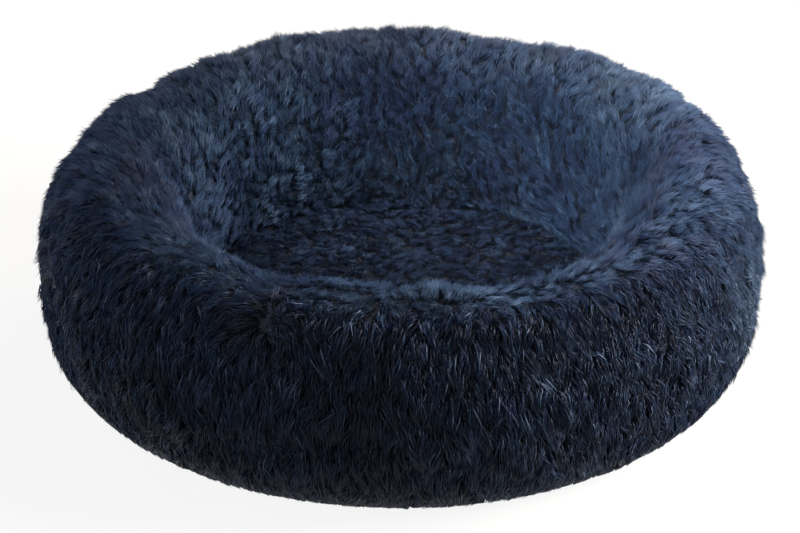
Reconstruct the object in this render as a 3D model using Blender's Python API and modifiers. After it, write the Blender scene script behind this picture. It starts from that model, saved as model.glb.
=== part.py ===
# Donut pet bed: a stuffed ring round a crowned sleeping cushion, in a zip-off cover of long pile.
# Metres, +Z up. The origin is the centre of the underside, the front faces -Y, and azimuths
# are degrees from +X towards +Y.
import math

import bmesh
import bpy
from mathutils import Vector

# Ring cover: the pile's surface, at rest on the floor
bed_radius = 0.350
bed_height = 0.205
widest_height = 0.095
crest_radius = 0.286
foot_radius = 0.308
well_radius = 0.196
well_foot_height = 0.050
pile_depth = 0.020
fullness_share = 0.9
wall_steps = 7
inner_wall_steps = 8
lining_steps = 2
front_hem_height = 0.001
back_hem_height = 0.027
left_seam_azimuth = 144
right_seam_azimuth = 6
touch_gap = 0.0003
merge_distance = 0.000001

# Base
base_radius = 0.3025
base_thickness = 0.0024
base_sides = 72
edge_tape_height = 0.006
edge_tape_thickness = 0.0015

# Ring inside
liner_thickness = 0.0009
ring_bottom_tuck = 0.012
ring_inner_tuck = 0.002
ring_steps = 60

# Centre cushion and its cover
pillow_thickness = 0.0497
pillow_shares = (0.0, 0.38, 0.62, 0.80, 0.93, 1.0)
pad_thickness = 0.019
pad_edge_height = 0.050
pad_top_shares = (0.0, 0.42, 0.68, 0.86, 0.96, 1.0)
disc_steps = 40
crown_power_share = 4

# Zip: chain, tapes and stops, round the back
zip_height = 0.0165
tape_thickness = 0.0008
tape_foot_height = 0.0032
tape_top_height = 0.033
coil_width = 0.0027
coil_height = 0.0024
coil_gap = 0.0014
tape_start_azimuth = 7.6
tape_end_azimuth = 142.4
coil_start_azimuth = 16
coil_end_azimuth = 134
zip_step = 3
top_stop_length = 0.0028
bottom_stop_length = 0.0045
stop_height = 0.0028
end_tab_width = 0.030
end_tab_thickness = 0.0011
end_tab_foot_height = 0.0036

# Slider and pull
slider_length = 0.013
slider_flare = 0.0006
slider_lip = 0.0002
slider_corner = 0.0018
slider_plate = 0.0012
slider_flange = 0.0009
slider_clearance = 0.0005
flange_clearance = 0.0007
neck_thickness = 0.0008
neck_length = 0.0035
neck_setback = 0.0012
slider_stop_clearance = 0.0008
bridge_length = 0.0086
bridge_thickness = 0.0010
bridge_width = 0.0020
bridge_room = 0.0022
bridge_corner = 0.0009
pull_thickness = 0.0011
pull_length = 0.026
pull_width = 0.0070
pull_neck_width = 0.0052
pull_window_length = 0.0048
pull_window_clearance = 0.0004
pull_leg_width = 0.0011
pull_slot_length = 0.0100
pull_slot_width = 0.0026
pull_slot_setback = 0.0045
corner_steps = 4

# Label, sewn into the base seam at the back and blank on both faces
label_azimuth = 75
label_width = 0.030
label_reach = 0.020
label_leaf = 0.0005
label_fold_radius = 0.0010
label_foot_height = 0.0006

# Fullness of the pile by azimuth: centre, half width, then the amounts at the outer wall,
# the crest and the inner wall, as shares of the pile's depth
swell_shares = (
    (144, 9, -0.45, -0.55, -0.35),
    (6, 8, -0.30, -0.35, -0.15),
    (298, 22, -0.05, -0.55, -0.35),
    (71, 14, -0.10, -0.28, 0.10),
    (111, 15, 0.15, 0.22, 0.15),
    (44, 15, 0.20, 0.22, 0.05),
    (242, 7, -0.10, -0.30, 0.10),
    (225, 16, 0.22, 0.05, 0.10),
    (318, 12, -0.20, -0.05, 0.10),
    (288, 14, 0.20, 0.00, 0.00),
    (188, 18, 0.10, 0.15, 0.15),
    (173, 4, 0.0, -0.08, -0.33),
)

# Unevenness of the stuffing: waves that cross, each with its direction and its start as shares
# of the wave's length, and hollows in the pile, each with its azimuth, then shares of the bed's
# radius and height, of the hollow's size and of the pile's depth
wave_height = 0.0006
wave_length = 0.095
wave_shares = (
    (0.9, 0.3, 0.2, 0.10),
    (-0.4, 0.8, 0.3, 0.35),
    (0.2, -0.9, 0.5, 0.60),
    (-0.7, -0.5, 0.4, 0.80),
    (0.6, 0.7, -0.6, 0.25),
    (1.1, -0.4, 0.3, 0.50),
    (-0.3, -0.2, 1.1, 0.90),
    (0.5, 1.0, 0.4, 0.05),
)
hollow_size = 0.014
hollow_shares = (
    (248, 0.922, 0.922, 1.10, 0.375),
    (4, 0.689, 0.923, 0.96, 0.30),
    (355.5, 0.914, 0.936, 0.82, 0.25),
    (352.5, 0.944, 0.877, 0.71, 0.225),
    (346, 0.959, 0.830, 0.75, 0.225),
    (334, 0.947, 0.868, 0.82, 0.225),
)

# Places that follow from the sizes
base_top = base_thickness + touch_gap
edge_tape_radius = base_radius + touch_gap
zip_radius = edge_tape_radius + edge_tape_thickness + touch_gap
coil_radius = zip_radius + tape_thickness + touch_gap
cover_foot_radius = coil_radius / math.cos(math.pi / ring_steps)
ring_foot_radius = zip_radius - slider_clearance - slider_plate - 2 * touch_gap
ring_depth = pile_depth + touch_gap
pillow_radius = well_radius + ring_depth - touch_gap
pillow_middle = base_top + pillow_thickness / 2
pad_radius = well_radius - 2 * touch_gap


def linear(hex_colour):
    # the linear value of an sRGB colour
    def channel(value):
        if value <= 0.04045:
            return value / 12.92
        return ((value + 0.055) / 1.055) ** 2.4
    return [channel(int(hex_colour[i:i + 2], 16) / 255) for i in (0, 2, 4)]


def finish(name, hex_colour, roughness, metallic=0.0):
    material = bpy.data.materials.new(name)
    material.use_nodes = True
    shader = material.node_tree.nodes["Principled BSDF"]
    shader.inputs["Base Color"].default_value = (*linear(hex_colour), 1.0)
    shader.inputs["Roughness"].default_value = roughness
    shader.inputs["Metallic"].default_value = metallic
    return material


def new_object(name, mesh, material, group):
    thing = bpy.data.objects.new(name, mesh)
    if material is not None:
        mesh.materials.clear()
        mesh.materials.append(material)
    group.objects.link(thing)
    return thing


def round_shade(thing, degrees=40):
    thing.data.shade_smooth()
    thing.data.set_sharp_from_angle(angle=math.radians(degrees))


def bow(angle_degrees, power):
    # cosine and sine of an angle, each raised to a power with its sign kept
    angle = math.radians(angle_degrees)
    cosine = math.cos(angle)
    sine = math.sin(angle)
    return (math.copysign(abs(cosine) ** power, cosine), math.copysign(abs(sine) ** power, sine))


def curve_points(centre, reach, first, last, steps, power=1.0):
    # points of a full oval from one angle to another, both ends included
    points = []
    for i in range(steps + 1):
        across, up = bow(first + (last - first) * i / steps, power)
        points.append((centre[0] + reach[0] * across, centre[1] + reach[1] * up))
    return points


def pile_surface(hem_height):
    # up the inner wall, over the crest, and down the outer wall to the hem
    inner = curve_points((crest_radius, well_foot_height),
                         (crest_radius - well_radius, bed_height - well_foot_height),
                         180, 90, inner_wall_steps, fullness_share)
    upper = curve_points((crest_radius, widest_height),
                         (bed_radius - crest_radius, bed_height - widest_height),
                         90, 0, wall_steps, fullness_share)
    hem_angle = -math.degrees(math.asin(1 - hem_height / widest_height))
    lower = curve_points((foot_radius, widest_height), (bed_radius - foot_radius, widest_height),
                         0, hem_angle, wall_steps)
    return inner + upper[1:] + lower[1:]


def ring_outer_side(depth, foot):
    # from the crest down the outer wall to where it stands over the zip
    upper = curve_points((crest_radius, widest_height),
                         (bed_radius - depth - crest_radius, bed_height - depth - widest_height),
                         90, 0, lining_steps, fullness_share)
    lower = curve_points((foot, widest_height),
                         (bed_radius - depth - foot, widest_height - tape_top_height),
                         0, -90, lining_steps)
    return upper + lower[1:]


def ring_inner_side(depth):
    # from the crest down the inner wall
    return curve_points((crest_radius, well_foot_height),
                        (crest_radius - well_radius - depth,
                         bed_height - depth - well_foot_height),
                        90, 180, lining_steps, fullness_share)


def ring_bottom(depth, rise):
    # the outer corner, the middle and the inner corner of the stuffed ring's flat underside
    outer = ring_foot_radius - ring_bottom_tuck - rise
    inner = well_radius + depth + ring_inner_tuck
    return ((outer, base_top + rise), ((outer + inner) / 2, base_top + rise), (inner, base_top + rise))


def turned(name, outline, steps, material, closed):
    # a profile turned round Z; a closed one is a ring, an open one begins and ends on the axis
    mesh = bpy.data.meshes.new(name)
    edges = [(i, i + 1) for i in range(len(outline) - 1)]
    if closed:
        edges.append((len(outline) - 1, 0))
    mesh.from_pydata([(radius, 0, height) for radius, height in outline], edges, [])
    thing = new_object(name, mesh, material, parts)
    screw = thing.modifiers.new("Turn", "SCREW")
    screw.steps = steps
    screw.render_steps = steps
    screw.use_merge_vertices = True
    screw.merge_threshold = merge_distance
    screw.use_smooth_shade = True
    return thing


def swept(name, outline, start, end, steps, material, shape=None):
    # a closed outline carried round Z from one azimuth to another, its ends filled
    bm = bmesh.new()
    turn = math.radians(start)
    layer = bm.verts.layers.float.new("surface")
    corners = []
    for radius, height, *surface in outline:
        corner = bm.verts.new((radius * math.cos(turn), radius * math.sin(turn), height))
        corner[layer] = surface[0] if surface else 0.0
        corners.append(corner)
    face = bm.faces.new(corners)
    bmesh.ops.spin(bm, geom=[face, *face.edges, *corners], cent=(0, 0, 0), axis=(0, 0, 1),
                   angle=math.radians(end - start), steps=steps, use_merge=False)
    if shape is not None:
        for corner in bm.verts:
            if corner[layer] > 0.5:
                shape(corner)
    bmesh.ops.triangulate(bm, faces=[face for face in bm.faces if len(face.verts) > 4])
    bmesh.ops.recalc_face_normals(bm, faces=bm.faces)
    mesh = bpy.data.meshes.new(name)
    bm.to_mesh(mesh)
    bm.free()
    thing = new_object(name, mesh, material, parts)
    round_shade(thing)
    return thing


def fullness(azimuth, outer, crest, inner):
    # how far the pile stands out or draws in at an azimuth, by the share of each wall
    amount = 0.0
    for centre, width, at_outer, at_crest, at_inner in swell_shares:
        away = (azimuth - centre + 180) % 360 - 180
        share = at_outer * outer + at_crest * crest + at_inner * inner
        amount += share * math.exp(-(away / width) ** 2)
    return amount * pile_depth


def unevenness(place):
    # how far the stuffing stands out or draws in at a place
    amount = 0.0
    for x, y, z, start in wave_shares:
        along = Vector((x, y, z)).dot(place) / wave_length + start
        amount += wave_height * math.sin(2 * math.pi * along)
    for azimuth, out, up, size, depth in hollow_shares:
        turn = math.radians(azimuth)
        out *= bed_radius
        middle = Vector((out * math.cos(turn), out * math.sin(turn), up * bed_height))
        away = (place - middle).length / (size * hollow_size)
        amount -= depth * pile_depth * math.exp(-away ** 2)
    return amount


def smooth_rise(value):
    value = min(max(value, 0.0), 1.0)
    return value * value * (3 - 2 * value)


def settle(corner):
    # moves a point of the pile's surface out from, or in to, the middle of the ring's section
    radius = math.hypot(corner.co.x, corner.co.y)
    azimuth = math.degrees(math.atan2(corner.co.y, corner.co.x))
    across = radius - crest_radius
    up = corner.co.z - widest_height
    reach = math.hypot(across, up)
    crest = max(up, 0.0) ** 2 / reach ** 2
    outer = (1 - crest) if across > 0 else 0.0
    inner = (1 - crest) if across <= 0 else 0.0
    foot = back_hem_height if across > 0 else well_foot_height
    fade = smooth_rise((corner.co.z - foot) / (widest_height - foot))
    move = (fullness(azimuth, outer, crest, inner) + unevenness(corner.co)) * fade
    new_radius = radius + move * across / reach
    corner.co.x *= new_radius / radius
    corner.co.y *= new_radius / radius
    corner.co.z += move * up / reach


def ring_cover(name, hem_height, start, end, steps):
    # one panel of the ring's cover, pile and backing together, open underneath
    surface = [(radius, height, 1.0) for radius, height in pile_surface(hem_height)]
    backing = [(cover_foot_radius, hem_height)]
    backing += reversed(ring_outer_side(pile_depth, cover_foot_radius))
    backing += ring_inner_side(pile_depth)[1:]
    half_gap = math.degrees(touch_gap / 2 / cover_foot_radius)
    return swept(name, surface + backing, start + half_gap, end - half_gap, steps, pile, settle)


def ring_half(name, side, bottom_corners, seam_shift):
    # half of the ring's liner: a thin shell from the crest seam to the bottom seam
    outer_face = side(ring_depth) + list(bottom_corners(ring_depth, 0))
    inner_face = side(ring_depth + liner_thickness) + list(bottom_corners(ring_depth + liner_thickness,
                                                                          liner_thickness))
    for face in (outer_face, inner_face):
        for end in (0, -1):
            face[end] = (face[end][0] + seam_shift, face[end][1])
    outline = outer_face + inner_face[::-1]
    if seam_shift < 0:
        outline.reverse()
    return turned(name, outline, ring_steps, liner, True)


def pillow_height(radius, depth=0.0):
    # half height of the centre cushion there: a crowned top that draws in to its seam
    share = min(radius / (pillow_radius - depth), 1.0)
    return (pillow_thickness / 2 - depth) * math.sqrt(1 - share ** crown_power_share)


def pillow_side(depth, sign, lift=0.0):
    # the cushion's top (+1) or underside (-1), from its middle out to the seam
    radius = pillow_radius - depth
    return [(radius * share,
             pillow_middle + sign * (pillow_height(radius * share, depth) + lift))
            for share in pillow_shares]


def block(name, size, centre, group):
    bm = bmesh.new()
    bmesh.ops.create_cube(bm, size=1.0)
    for corner in bm.verts:
        corner.co = [corner.co[i] * size[i] + centre[i] for i in range(3)]
    mesh = bpy.data.meshes.new(name)
    bm.to_mesh(mesh)
    bm.free()
    return new_object(name, mesh, None, group)


def plate(name, outlines, thickness, material, group):
    # flat outlines in the local X-Z plane, filled, with their thickness along Y
    curve = bpy.data.curves.new(name, "CURVE")
    curve.dimensions = "2D"
    curve.fill_mode = "BOTH"
    curve.extrude = thickness / 2
    for outline in outlines:
        spline = curve.splines.new("POLY")
        spline.points.add(len(outline) - 1)
        for point, (across, up) in zip(spline.points, outline):
            point.co = (across, up, 0, 1)
        spline.use_cyclic_u = True
    source = bpy.data.objects.new(name + "_outline", curve)
    parts.objects.link(source)
    bpy.context.view_layer.update()
    mesh = bpy.data.meshes.new_from_object(source.evaluated_get(bpy.context.evaluated_depsgraph_get()))
    bpy.data.objects.remove(source)
    bm = bmesh.new()
    bm.from_mesh(mesh)
    bmesh.ops.remove_doubles(bm, verts=bm.verts, dist=merge_distance)
    for corner in bm.verts:
        corner.co = (corner.co.x, -corner.co.z, corner.co.y)
    bmesh.ops.recalc_face_normals(bm, faces=bm.faces)
    bm.to_mesh(mesh)
    bm.free()
    return new_object(name, mesh, material, group)


def rounded(corners, radius):
    # an outline with each corner rounded off by an arc
    outline = []
    count = len(corners)
    for i, corner in enumerate(corners):
        before = corners[i - 1]
        after = corners[(i + 1) % count]
        toward = []
        for other in (before, after):
            length = math.dist(corner, other)
            toward.append([(other[k] - corner[k]) / length for k in (0, 1)])
        opening = math.acos(sum(toward[0][k] * toward[1][k] for k in (0, 1)))
        cut = radius / math.tan(opening / 2)
        first = [corner[k] + toward[0][k] * cut for k in (0, 1)]
        last = [corner[k] + toward[1][k] * cut for k in (0, 1)]
        for step in range(corner_steps + 1):
            t = step / corner_steps
            outline.append(tuple((1 - t) ** 2 * first[k] + 2 * t * (1 - t) * corner[k] + t * t * last[k]
                                 for k in (0, 1)))
    return outline


def joined(thing, others):
    # one body from a solid and those that reach into it
    for other in others:
        other.hide_render = True
        other.display_type = "WIRE"
        union = thing.modifiers.new("Join " + other.name, "BOOLEAN")
        union.operation = "UNION"
        union.object = other
        other.parent = thing
    return thing


for old in list(bpy.data.objects):
    bpy.data.objects.remove(old)
parts = bpy.data.collections.new("donut_pet_bed")
cutters = bpy.data.collections.new("cutters")
for group in (parts, cutters):
    bpy.context.scene.collection.children.link(group)

# Finishes
pile = finish("navy long pile", "1c2434", 0.95)
liner = finish("white nonwoven liner", "dcdcd8", 0.9)
fibre = finish("polyester fibre fill", "f0f0ec", 1.0)
base_cloth = finish("coated base cloth", "23262c", 0.8)
tape = finish("woven tape", "1a2233", 0.85)
nylon = finish("nylon coil", "1d2536", 0.5)
zinc = finish("lacquered zinc", "23283a", 0.4, 0.8)
satin = finish("satin label", "d8d8d4", 0.6)

# Base
bpy.ops.mesh.primitive_cylinder_add(vertices=base_sides, radius=base_radius, depth=base_thickness,
                                    location=(0, 0, base_thickness / 2))
base_panel = bpy.context.object
base_panel.name = "base_panel"
base_panel.data.materials.append(base_cloth)
for owner in list(base_panel.users_collection):
    owner.objects.unlink(base_panel)
parts.objects.link(base_panel)
round_shade(base_panel)
edge_tape_outer = edge_tape_radius + edge_tape_thickness
turned("base_edge_tape",
       [(edge_tape_outer, touch_gap + edge_tape_height), (edge_tape_outer, touch_gap),
        (edge_tape_radius, touch_gap), (edge_tape_radius, touch_gap + edge_tape_height)],
       base_sides, tape, True)

# Ring: two cover panels that meet at the side seams, a liner in two halves, and the filling
seam_step = 360 / ring_steps
front_end = right_seam_azimuth + 360
ring_cover("ring_cover_front", front_hem_height, left_seam_azimuth, front_end,
           round((front_end - left_seam_azimuth) / seam_step))
ring_cover("ring_cover_back", back_hem_height, right_seam_azimuth, left_seam_azimuth,
           round((left_seam_azimuth - right_seam_azimuth) / seam_step))
ring_half("ring_liner_outer", lambda depth: ring_outer_side(depth, ring_foot_radius + ring_depth - depth),
          lambda depth, rise: ring_bottom(depth, rise)[:2], touch_gap / 2)
ring_half("ring_liner_inner", ring_inner_side,
          lambda depth, rise: ring_bottom(depth, rise)[:0:-1], -touch_gap / 2)
fill_depth = ring_depth + liner_thickness + touch_gap
fill_bottom = ring_bottom(fill_depth, liner_thickness + touch_gap)
turned("ring_fill",
       ring_outer_side(fill_depth, ring_foot_radius + ring_depth - fill_depth)
       + [fill_bottom[0], fill_bottom[2]] + ring_inner_side(fill_depth)[:0:-1],
       ring_steps, fibre, True)

# Centre: a crowned cushion under its own round cover
lift = touch_gap / 2
liner_top = pillow_side(0, 1)
liner_top[-1] = (liner_top[-1][0], liner_top[-1][1] + lift)
liner_top_inside = pillow_side(liner_thickness, 1)
liner_top_inside[-1] = (liner_top_inside[-1][0], liner_top_inside[-1][1] + lift)
turned("centre_liner_top", liner_top + liner_top_inside[::-1], disc_steps, liner, False)
turned("centre_liner_bottom",
       [(radius, 2 * pillow_middle - height) for radius, height in liner_top_inside + liner_top[::-1]],
       disc_steps, liner, False)
inside = liner_thickness + touch_gap
turned("centre_fill", pillow_side(inside, 1) + pillow_side(inside, -1)[-2::-1], disc_steps, fibre, False)
pad_top = [(pad_radius * share,
            pad_edge_height + pad_thickness * math.sqrt(1 - share ** crown_power_share))
           for share in pad_top_shares]
under = [radius for radius, height in liner_top if radius < pad_radius] + [pad_radius]
pad_under = [(radius, pillow_middle + pillow_height(radius) + touch_gap) for radius in under]
turned("centre_cover", pad_top + pad_under[::-1], disc_steps, pile, False)

# Zip tapes and chain
chain_half = coil_gap / 2 + coil_width
tape_steps = round((tape_end_azimuth - tape_start_azimuth) / zip_step)
coil_steps = round((coil_end_azimuth - coil_start_azimuth) / zip_step)


def band(name, radius, thickness, low, high, start, end, steps, material):
    # an upright band that follows the base round the back
    outline = [(radius + thickness, high), (radius + thickness, low), (radius, low), (radius, high)]
    return swept(name, outline, start, end, steps, material)


def arc(length, radius):
    # the angle that a length takes at a radius
    return math.degrees(length / radius)


band("zip_tape_lower", zip_radius, tape_thickness, tape_foot_height, zip_height - coil_gap / 2,
     tape_start_azimuth, tape_end_azimuth, tape_steps, tape)
band("zip_tape_upper", zip_radius, tape_thickness, zip_height + coil_gap / 2, tape_top_height,
     tape_start_azimuth, tape_end_azimuth, tape_steps, tape)
stop_gap = arc(touch_gap, coil_radius)
for side, low in (("lower", zip_height - chain_half), ("upper", zip_height + coil_gap / 2)):
    band("zip_coil_" + side, coil_radius, coil_height, low, low + coil_width,
         coil_start_azimuth, coil_end_azimuth, coil_steps, nylon)
    band("zip_top_stop_" + side, coil_radius, stop_height, low, low + coil_width,
         coil_end_azimuth + stop_gap, coil_end_azimuth + stop_gap + arc(top_stop_length, coil_radius),
         1, zinc)
band("zip_bottom_stop", coil_radius, stop_height, zip_height - chain_half, zip_height + chain_half,
     coil_start_azimuth - stop_gap - arc(bottom_stop_length, coil_radius),
     coil_start_azimuth - stop_gap, 1, zinc)
for side, start in (("right", tape_start_azimuth - arc(end_tab_width / 4, coil_radius)),
                    ("left", tape_end_azimuth - arc(end_tab_width * 3 / 4, coil_radius))):
    band("zip_end_tab_" + side, coil_radius, end_tab_thickness, end_tab_foot_height,
         back_hem_height - touch_gap, start, start + arc(end_tab_width, coil_radius), 3, tape)

# Label: one strip folded back on itself, lying out from the base seam
fold = label_fold_radius
label_middle = label_foot_height + fold
label_room = fold - label_leaf
label_bend = (label_reach - fold, 0)
label_inner = curve_points(label_bend, (label_room, label_room), 90, -90, corner_steps)
label_outer = curve_points(label_bend, (fold, fold), -90, 90, corner_steps)
label_outline = [(0, label_room), *label_inner, (0, -label_room), (0, -fold), *label_outer, (0, fold)]
care_label = plate("care_label", [label_outline], label_width, satin, parts)
label_turn = math.radians(label_azimuth)
label_seat = edge_tape_outer + touch_gap
care_label.location = (label_seat * math.cos(label_turn), label_seat * math.sin(label_turn), label_middle)
care_label.rotation_euler = (0, 0, label_turn)

# Slider: two plates joined by a neck that runs between the coils, with flanges beside them.
# Its parent stands on the axis that it travels round; local +X points along the way it opens.
slider_rest_azimuth = coil_end_azimuth - arc(slider_length / 2 + slider_stop_clearance, coil_radius)
slider_axis = bpy.data.objects.new("slider_axis", None)
parts.objects.link(slider_axis)
slider_axis.rotation_euler = (0, 0, math.radians(slider_rest_azimuth - 90))
plate_inner = coil_radius + coil_height + slider_clearance
plate_outer = plate_inner + slider_plate
under_outer = zip_radius - slider_clearance
under_inner = under_outer - slider_plate
nose = -slider_length / 2
tail = slider_length / 2
flange_side = chain_half + slider_clearance + slider_flange / 2
half_tail = flange_side + slider_flange / 2 + slider_lip
half_wide = half_tail + slider_flare
slider_outline = rounded([(nose, -half_wide), (tail, -half_tail), (tail, half_tail), (nose, half_wide)],
                         slider_corner)
slider_body = plate("slider_body", [slider_outline], slider_plate, zinc, parts)
slider_body.parent = slider_axis
slider_body.location = (0, (plate_inner + plate_outer) / 2, zip_height)
plate_drop = -(plate_inner + plate_outer) / 2
under_plate = plate("slider_under_plate", [slider_outline], slider_plate, None, cutters)
under_plate.location = (0, plate_drop + (under_inner + under_outer) / 2, 0)
neck_reach = plate_outer - under_inner - slider_plate
neck = block("slider_neck", (neck_length, neck_reach, neck_thickness),
             (nose + neck_setback + neck_length / 2,
              plate_drop + (plate_outer + under_inner) / 2, 0), cutters)
flange_end = zip_radius + tape_thickness + flange_clearance
flange_root = plate_inner + slider_plate / 2
flanges = [block("slider_flange_" + side,
                 (slider_length - 2 * slider_corner, flange_root - flange_end, slider_flange),
                 (0, plate_drop + (flange_root + flange_end) / 2, sign * flange_side), cutters)
           for side, sign in (("lower", -1), ("upper", 1))]
joined(slider_body, [under_plate, neck, *flanges])

# Bridge over the slider, which holds the pull's end bar
bridge_seat = plate_outer + touch_gap
half_bridge = bridge_length / 2
bridge_top = bridge_room + bridge_thickness
room_half = half_bridge - bridge_thickness
bridge_outline = [
    (-half_bridge, 0), (-half_bridge, bridge_top - bridge_corner),
    (-half_bridge + bridge_corner, bridge_top), (half_bridge - bridge_corner, bridge_top),
    (half_bridge, bridge_top - bridge_corner), (half_bridge, 0), (room_half, 0),
    (room_half, bridge_room), (-room_half, bridge_room), (-room_half, 0),
]
slider_bridge = plate("slider_bridge", [bridge_outline], bridge_width, zinc, parts)
slider_bridge.parent = slider_axis
slider_bridge.location = (0, bridge_seat, zip_height)
slider_bridge.rotation_euler = (math.radians(-90), 0, 0)

# Pull: a flat tab whose end bar turns under the bridge; its origin is on the bar's axis
half_window = bridge_width / 2 + pull_window_clearance
half_eye = half_window + pull_leg_width
bar_half = pull_thickness / 2
window_end = bar_half + pull_window_length
neck_half = max(pull_neck_width / 2, half_eye)
pull_outline = rounded([(-bar_half, -half_eye), (window_end + pull_leg_width, -neck_half),
                        (pull_length - bar_half, -pull_width / 2),
                        (pull_length - bar_half, pull_width / 2),
                        (window_end + pull_leg_width, neck_half), (-bar_half, half_eye)],
                       pull_leg_width / 2)
window = [(bar_half, -half_window), (bar_half, half_window), (window_end, half_window),
          (window_end, -half_window)]
slot_far = pull_length - bar_half - pull_slot_setback
slot_near = slot_far - pull_slot_length
slot = rounded([(slot_near, -pull_slot_width / 2), (slot_near, pull_slot_width / 2),
                (slot_far, pull_slot_width / 2), (slot_far, -pull_slot_width / 2)], pull_slot_width / 3)
pull_tab = plate("pull_tab", [pull_outline, window, slot], pull_thickness, zinc, parts)
pull_tab.parent = slider_axis
pull_tab.location = (0, bridge_seat + bridge_room / 2, zip_height)

print("slider rests at azimuth", round(slider_rest_azimuth, 4), "degrees; travel",
      round(slider_rest_azimuth - coil_start_azimuth
            - arc(slider_length / 2 + slider_stop_clearance, coil_radius), 4))
print("pull turns at radius", round(bridge_seat + bridge_room / 2, 6), "height", zip_height)
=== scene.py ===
import bmesh
import bpy
import numpy as np
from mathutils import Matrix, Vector


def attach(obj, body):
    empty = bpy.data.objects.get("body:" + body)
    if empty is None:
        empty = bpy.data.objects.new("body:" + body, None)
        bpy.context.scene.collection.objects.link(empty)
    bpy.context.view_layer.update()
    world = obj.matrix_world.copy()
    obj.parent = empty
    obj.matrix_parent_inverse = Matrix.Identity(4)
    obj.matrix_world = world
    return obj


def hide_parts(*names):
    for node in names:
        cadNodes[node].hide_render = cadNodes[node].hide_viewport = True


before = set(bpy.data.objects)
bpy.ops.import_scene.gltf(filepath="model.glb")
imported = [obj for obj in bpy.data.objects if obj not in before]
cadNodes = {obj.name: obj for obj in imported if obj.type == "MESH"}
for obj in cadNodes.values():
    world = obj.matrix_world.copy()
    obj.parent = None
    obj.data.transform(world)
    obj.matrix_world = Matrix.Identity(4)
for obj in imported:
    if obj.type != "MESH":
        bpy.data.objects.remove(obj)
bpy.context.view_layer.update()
print("frame loaded with", len(cadNodes), "nodes")

for old in [thing for thing in bpy.data.objects if thing.type in ("LIGHT", "CAMERA")]:
    bpy.data.objects.remove(old)

scene = bpy.context.scene
scene.view_settings.view_transform = "Standard"


# Camera

cameraSettings = {
    "elevation": 27.5,
    "distance": 2.977,
    "lookAt": (0.0, 0.0, 0.090),
    "lensMm": 137.8,
    "farthest": 50,
    "aimDrop": 0.0078,  # the bed sits a little above the middle of the frame
    "aimSide": -0.0010,
}


def newThing(name, data):
    thing = bpy.data.objects.new(name, data)
    scene.collection.objects.link(thing)
    return thing


def turnTowards(thing, place, target):
    thing.location = place
    thing.rotation_euler = (Vector(target) - Vector(place)).to_track_quat("-Z", "Y").to_euler()


def makeCamera(s):
    data = bpy.data.cameras.new("photoCamera")
    data.lens = s["lensMm"]
    data.clip_end = s["farthest"]
    scene.camera = newThing("photoCamera", data)
    up = np.radians(s["elevation"])
    x, y, z = s["lookAt"]
    place = (x, y - s["distance"] * np.cos(up), z + s["distance"] * np.sin(up))
    turnTowards(scene.camera, place, (x + s["aimSide"], y, z - s["aimDrop"]))


makeCamera(cameraSettings)
print("camera placed")


# Nodes and colours

def linearColour(hexColour):
    # sRGB hex to linear: v / 12.92 below 0.04045, else ((v + 0.055) / 1.055) ^ 2.4
    value = np.array([int(hexColour[i:i + 2], 16) for i in (0, 2, 4)]) / 255
    value = np.where(value <= 0.04045, value / 12.92, ((value + 0.055) / 1.055) ** 2.4)
    return (*value.tolist(), 1.0)


def addNode(tree, kind, inputs=None, **settings):
    # one node with its settings; an input takes a value, or a socket to link from
    node = tree.nodes.new(kind)
    for key, value in settings.items():
        setattr(node, key, value)
    for key, value in (inputs or {}).items():
        if isinstance(value, bpy.types.NodeSocket):
            tree.links.new(value, node.inputs[key])
        else:
            node.inputs[key].default_value = value
    return node


def mathNode(tree, operation, *values):
    # the result of a Math node on one or two values or sockets
    return addNode(tree, "ShaderNodeMath", dict(enumerate(values)), operation=operation).outputs[0]


def ramped(tree, tone, stops):
    # a tone's colour on a ramp of (position, sRGB hex) stops
    node = addNode(tree, "ShaderNodeValToRGB", {"Fac": tone})
    ramp = node.color_ramp
    while len(ramp.elements) < len(stops):
        ramp.elements.new(1.0)
    for element, (position, hexColour) in zip(ramp.elements, stops):
        element.position = position
        element.color = linearColour(hexColour)
    return node.outputs["Color"]


def newFinish(name, roughness, **sockets):
    # a material with its Principled shader, and constants straight on the shader's sockets
    material = bpy.data.materials.new(name)
    material.use_nodes = True
    shader = material.node_tree.nodes["Principled BSDF"]
    shader.inputs["Roughness"].default_value = roughness
    for key, value in sockets.items():
        shader.inputs[key.replace("_", " ")].default_value = value
    return material, material.node_tree, shader


def paint(tree, shader, tone, stops, height=None, distance=0.0, strength=0.0):
    # the shader's colour from a tone on a ramp, and its bumps from a height
    tree.links.new(ramped(tree, tone, stops), shader.inputs["Base Color"])
    if height is not None:
        bump = addNode(tree, "ShaderNodeBump", {"Height": height, "Distance": distance, "Strength": strength})
        tree.links.new(bump.outputs["Normal"], shader.inputs["Normal"])


def grain(tree, kind="Noise", **inputs):
    # a texture in Object coordinates
    place = addNode(tree, "ShaderNodeTexCoord")
    return addNode(tree, "ShaderNodeTex" + kind, {"Vector": place.outputs["Object"], **inputs}).outputs[0]


def grainFinish(name, roughness, toneGrain, stops, bump=None, bumpGrain=None, **sockets):
    # a grain for the tone, and the same or another for bumps of (distance, strength)
    material, tree, shader = newFinish(name, roughness, **sockets)
    tone = grain(tree, **toneGrain)
    height = grain(tree, **bumpGrain) if bumpGrain else tone
    paint(tree, shader, tone, stops, *((height, *bump) if bump else ()))
    return material


# Floor and light

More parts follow.
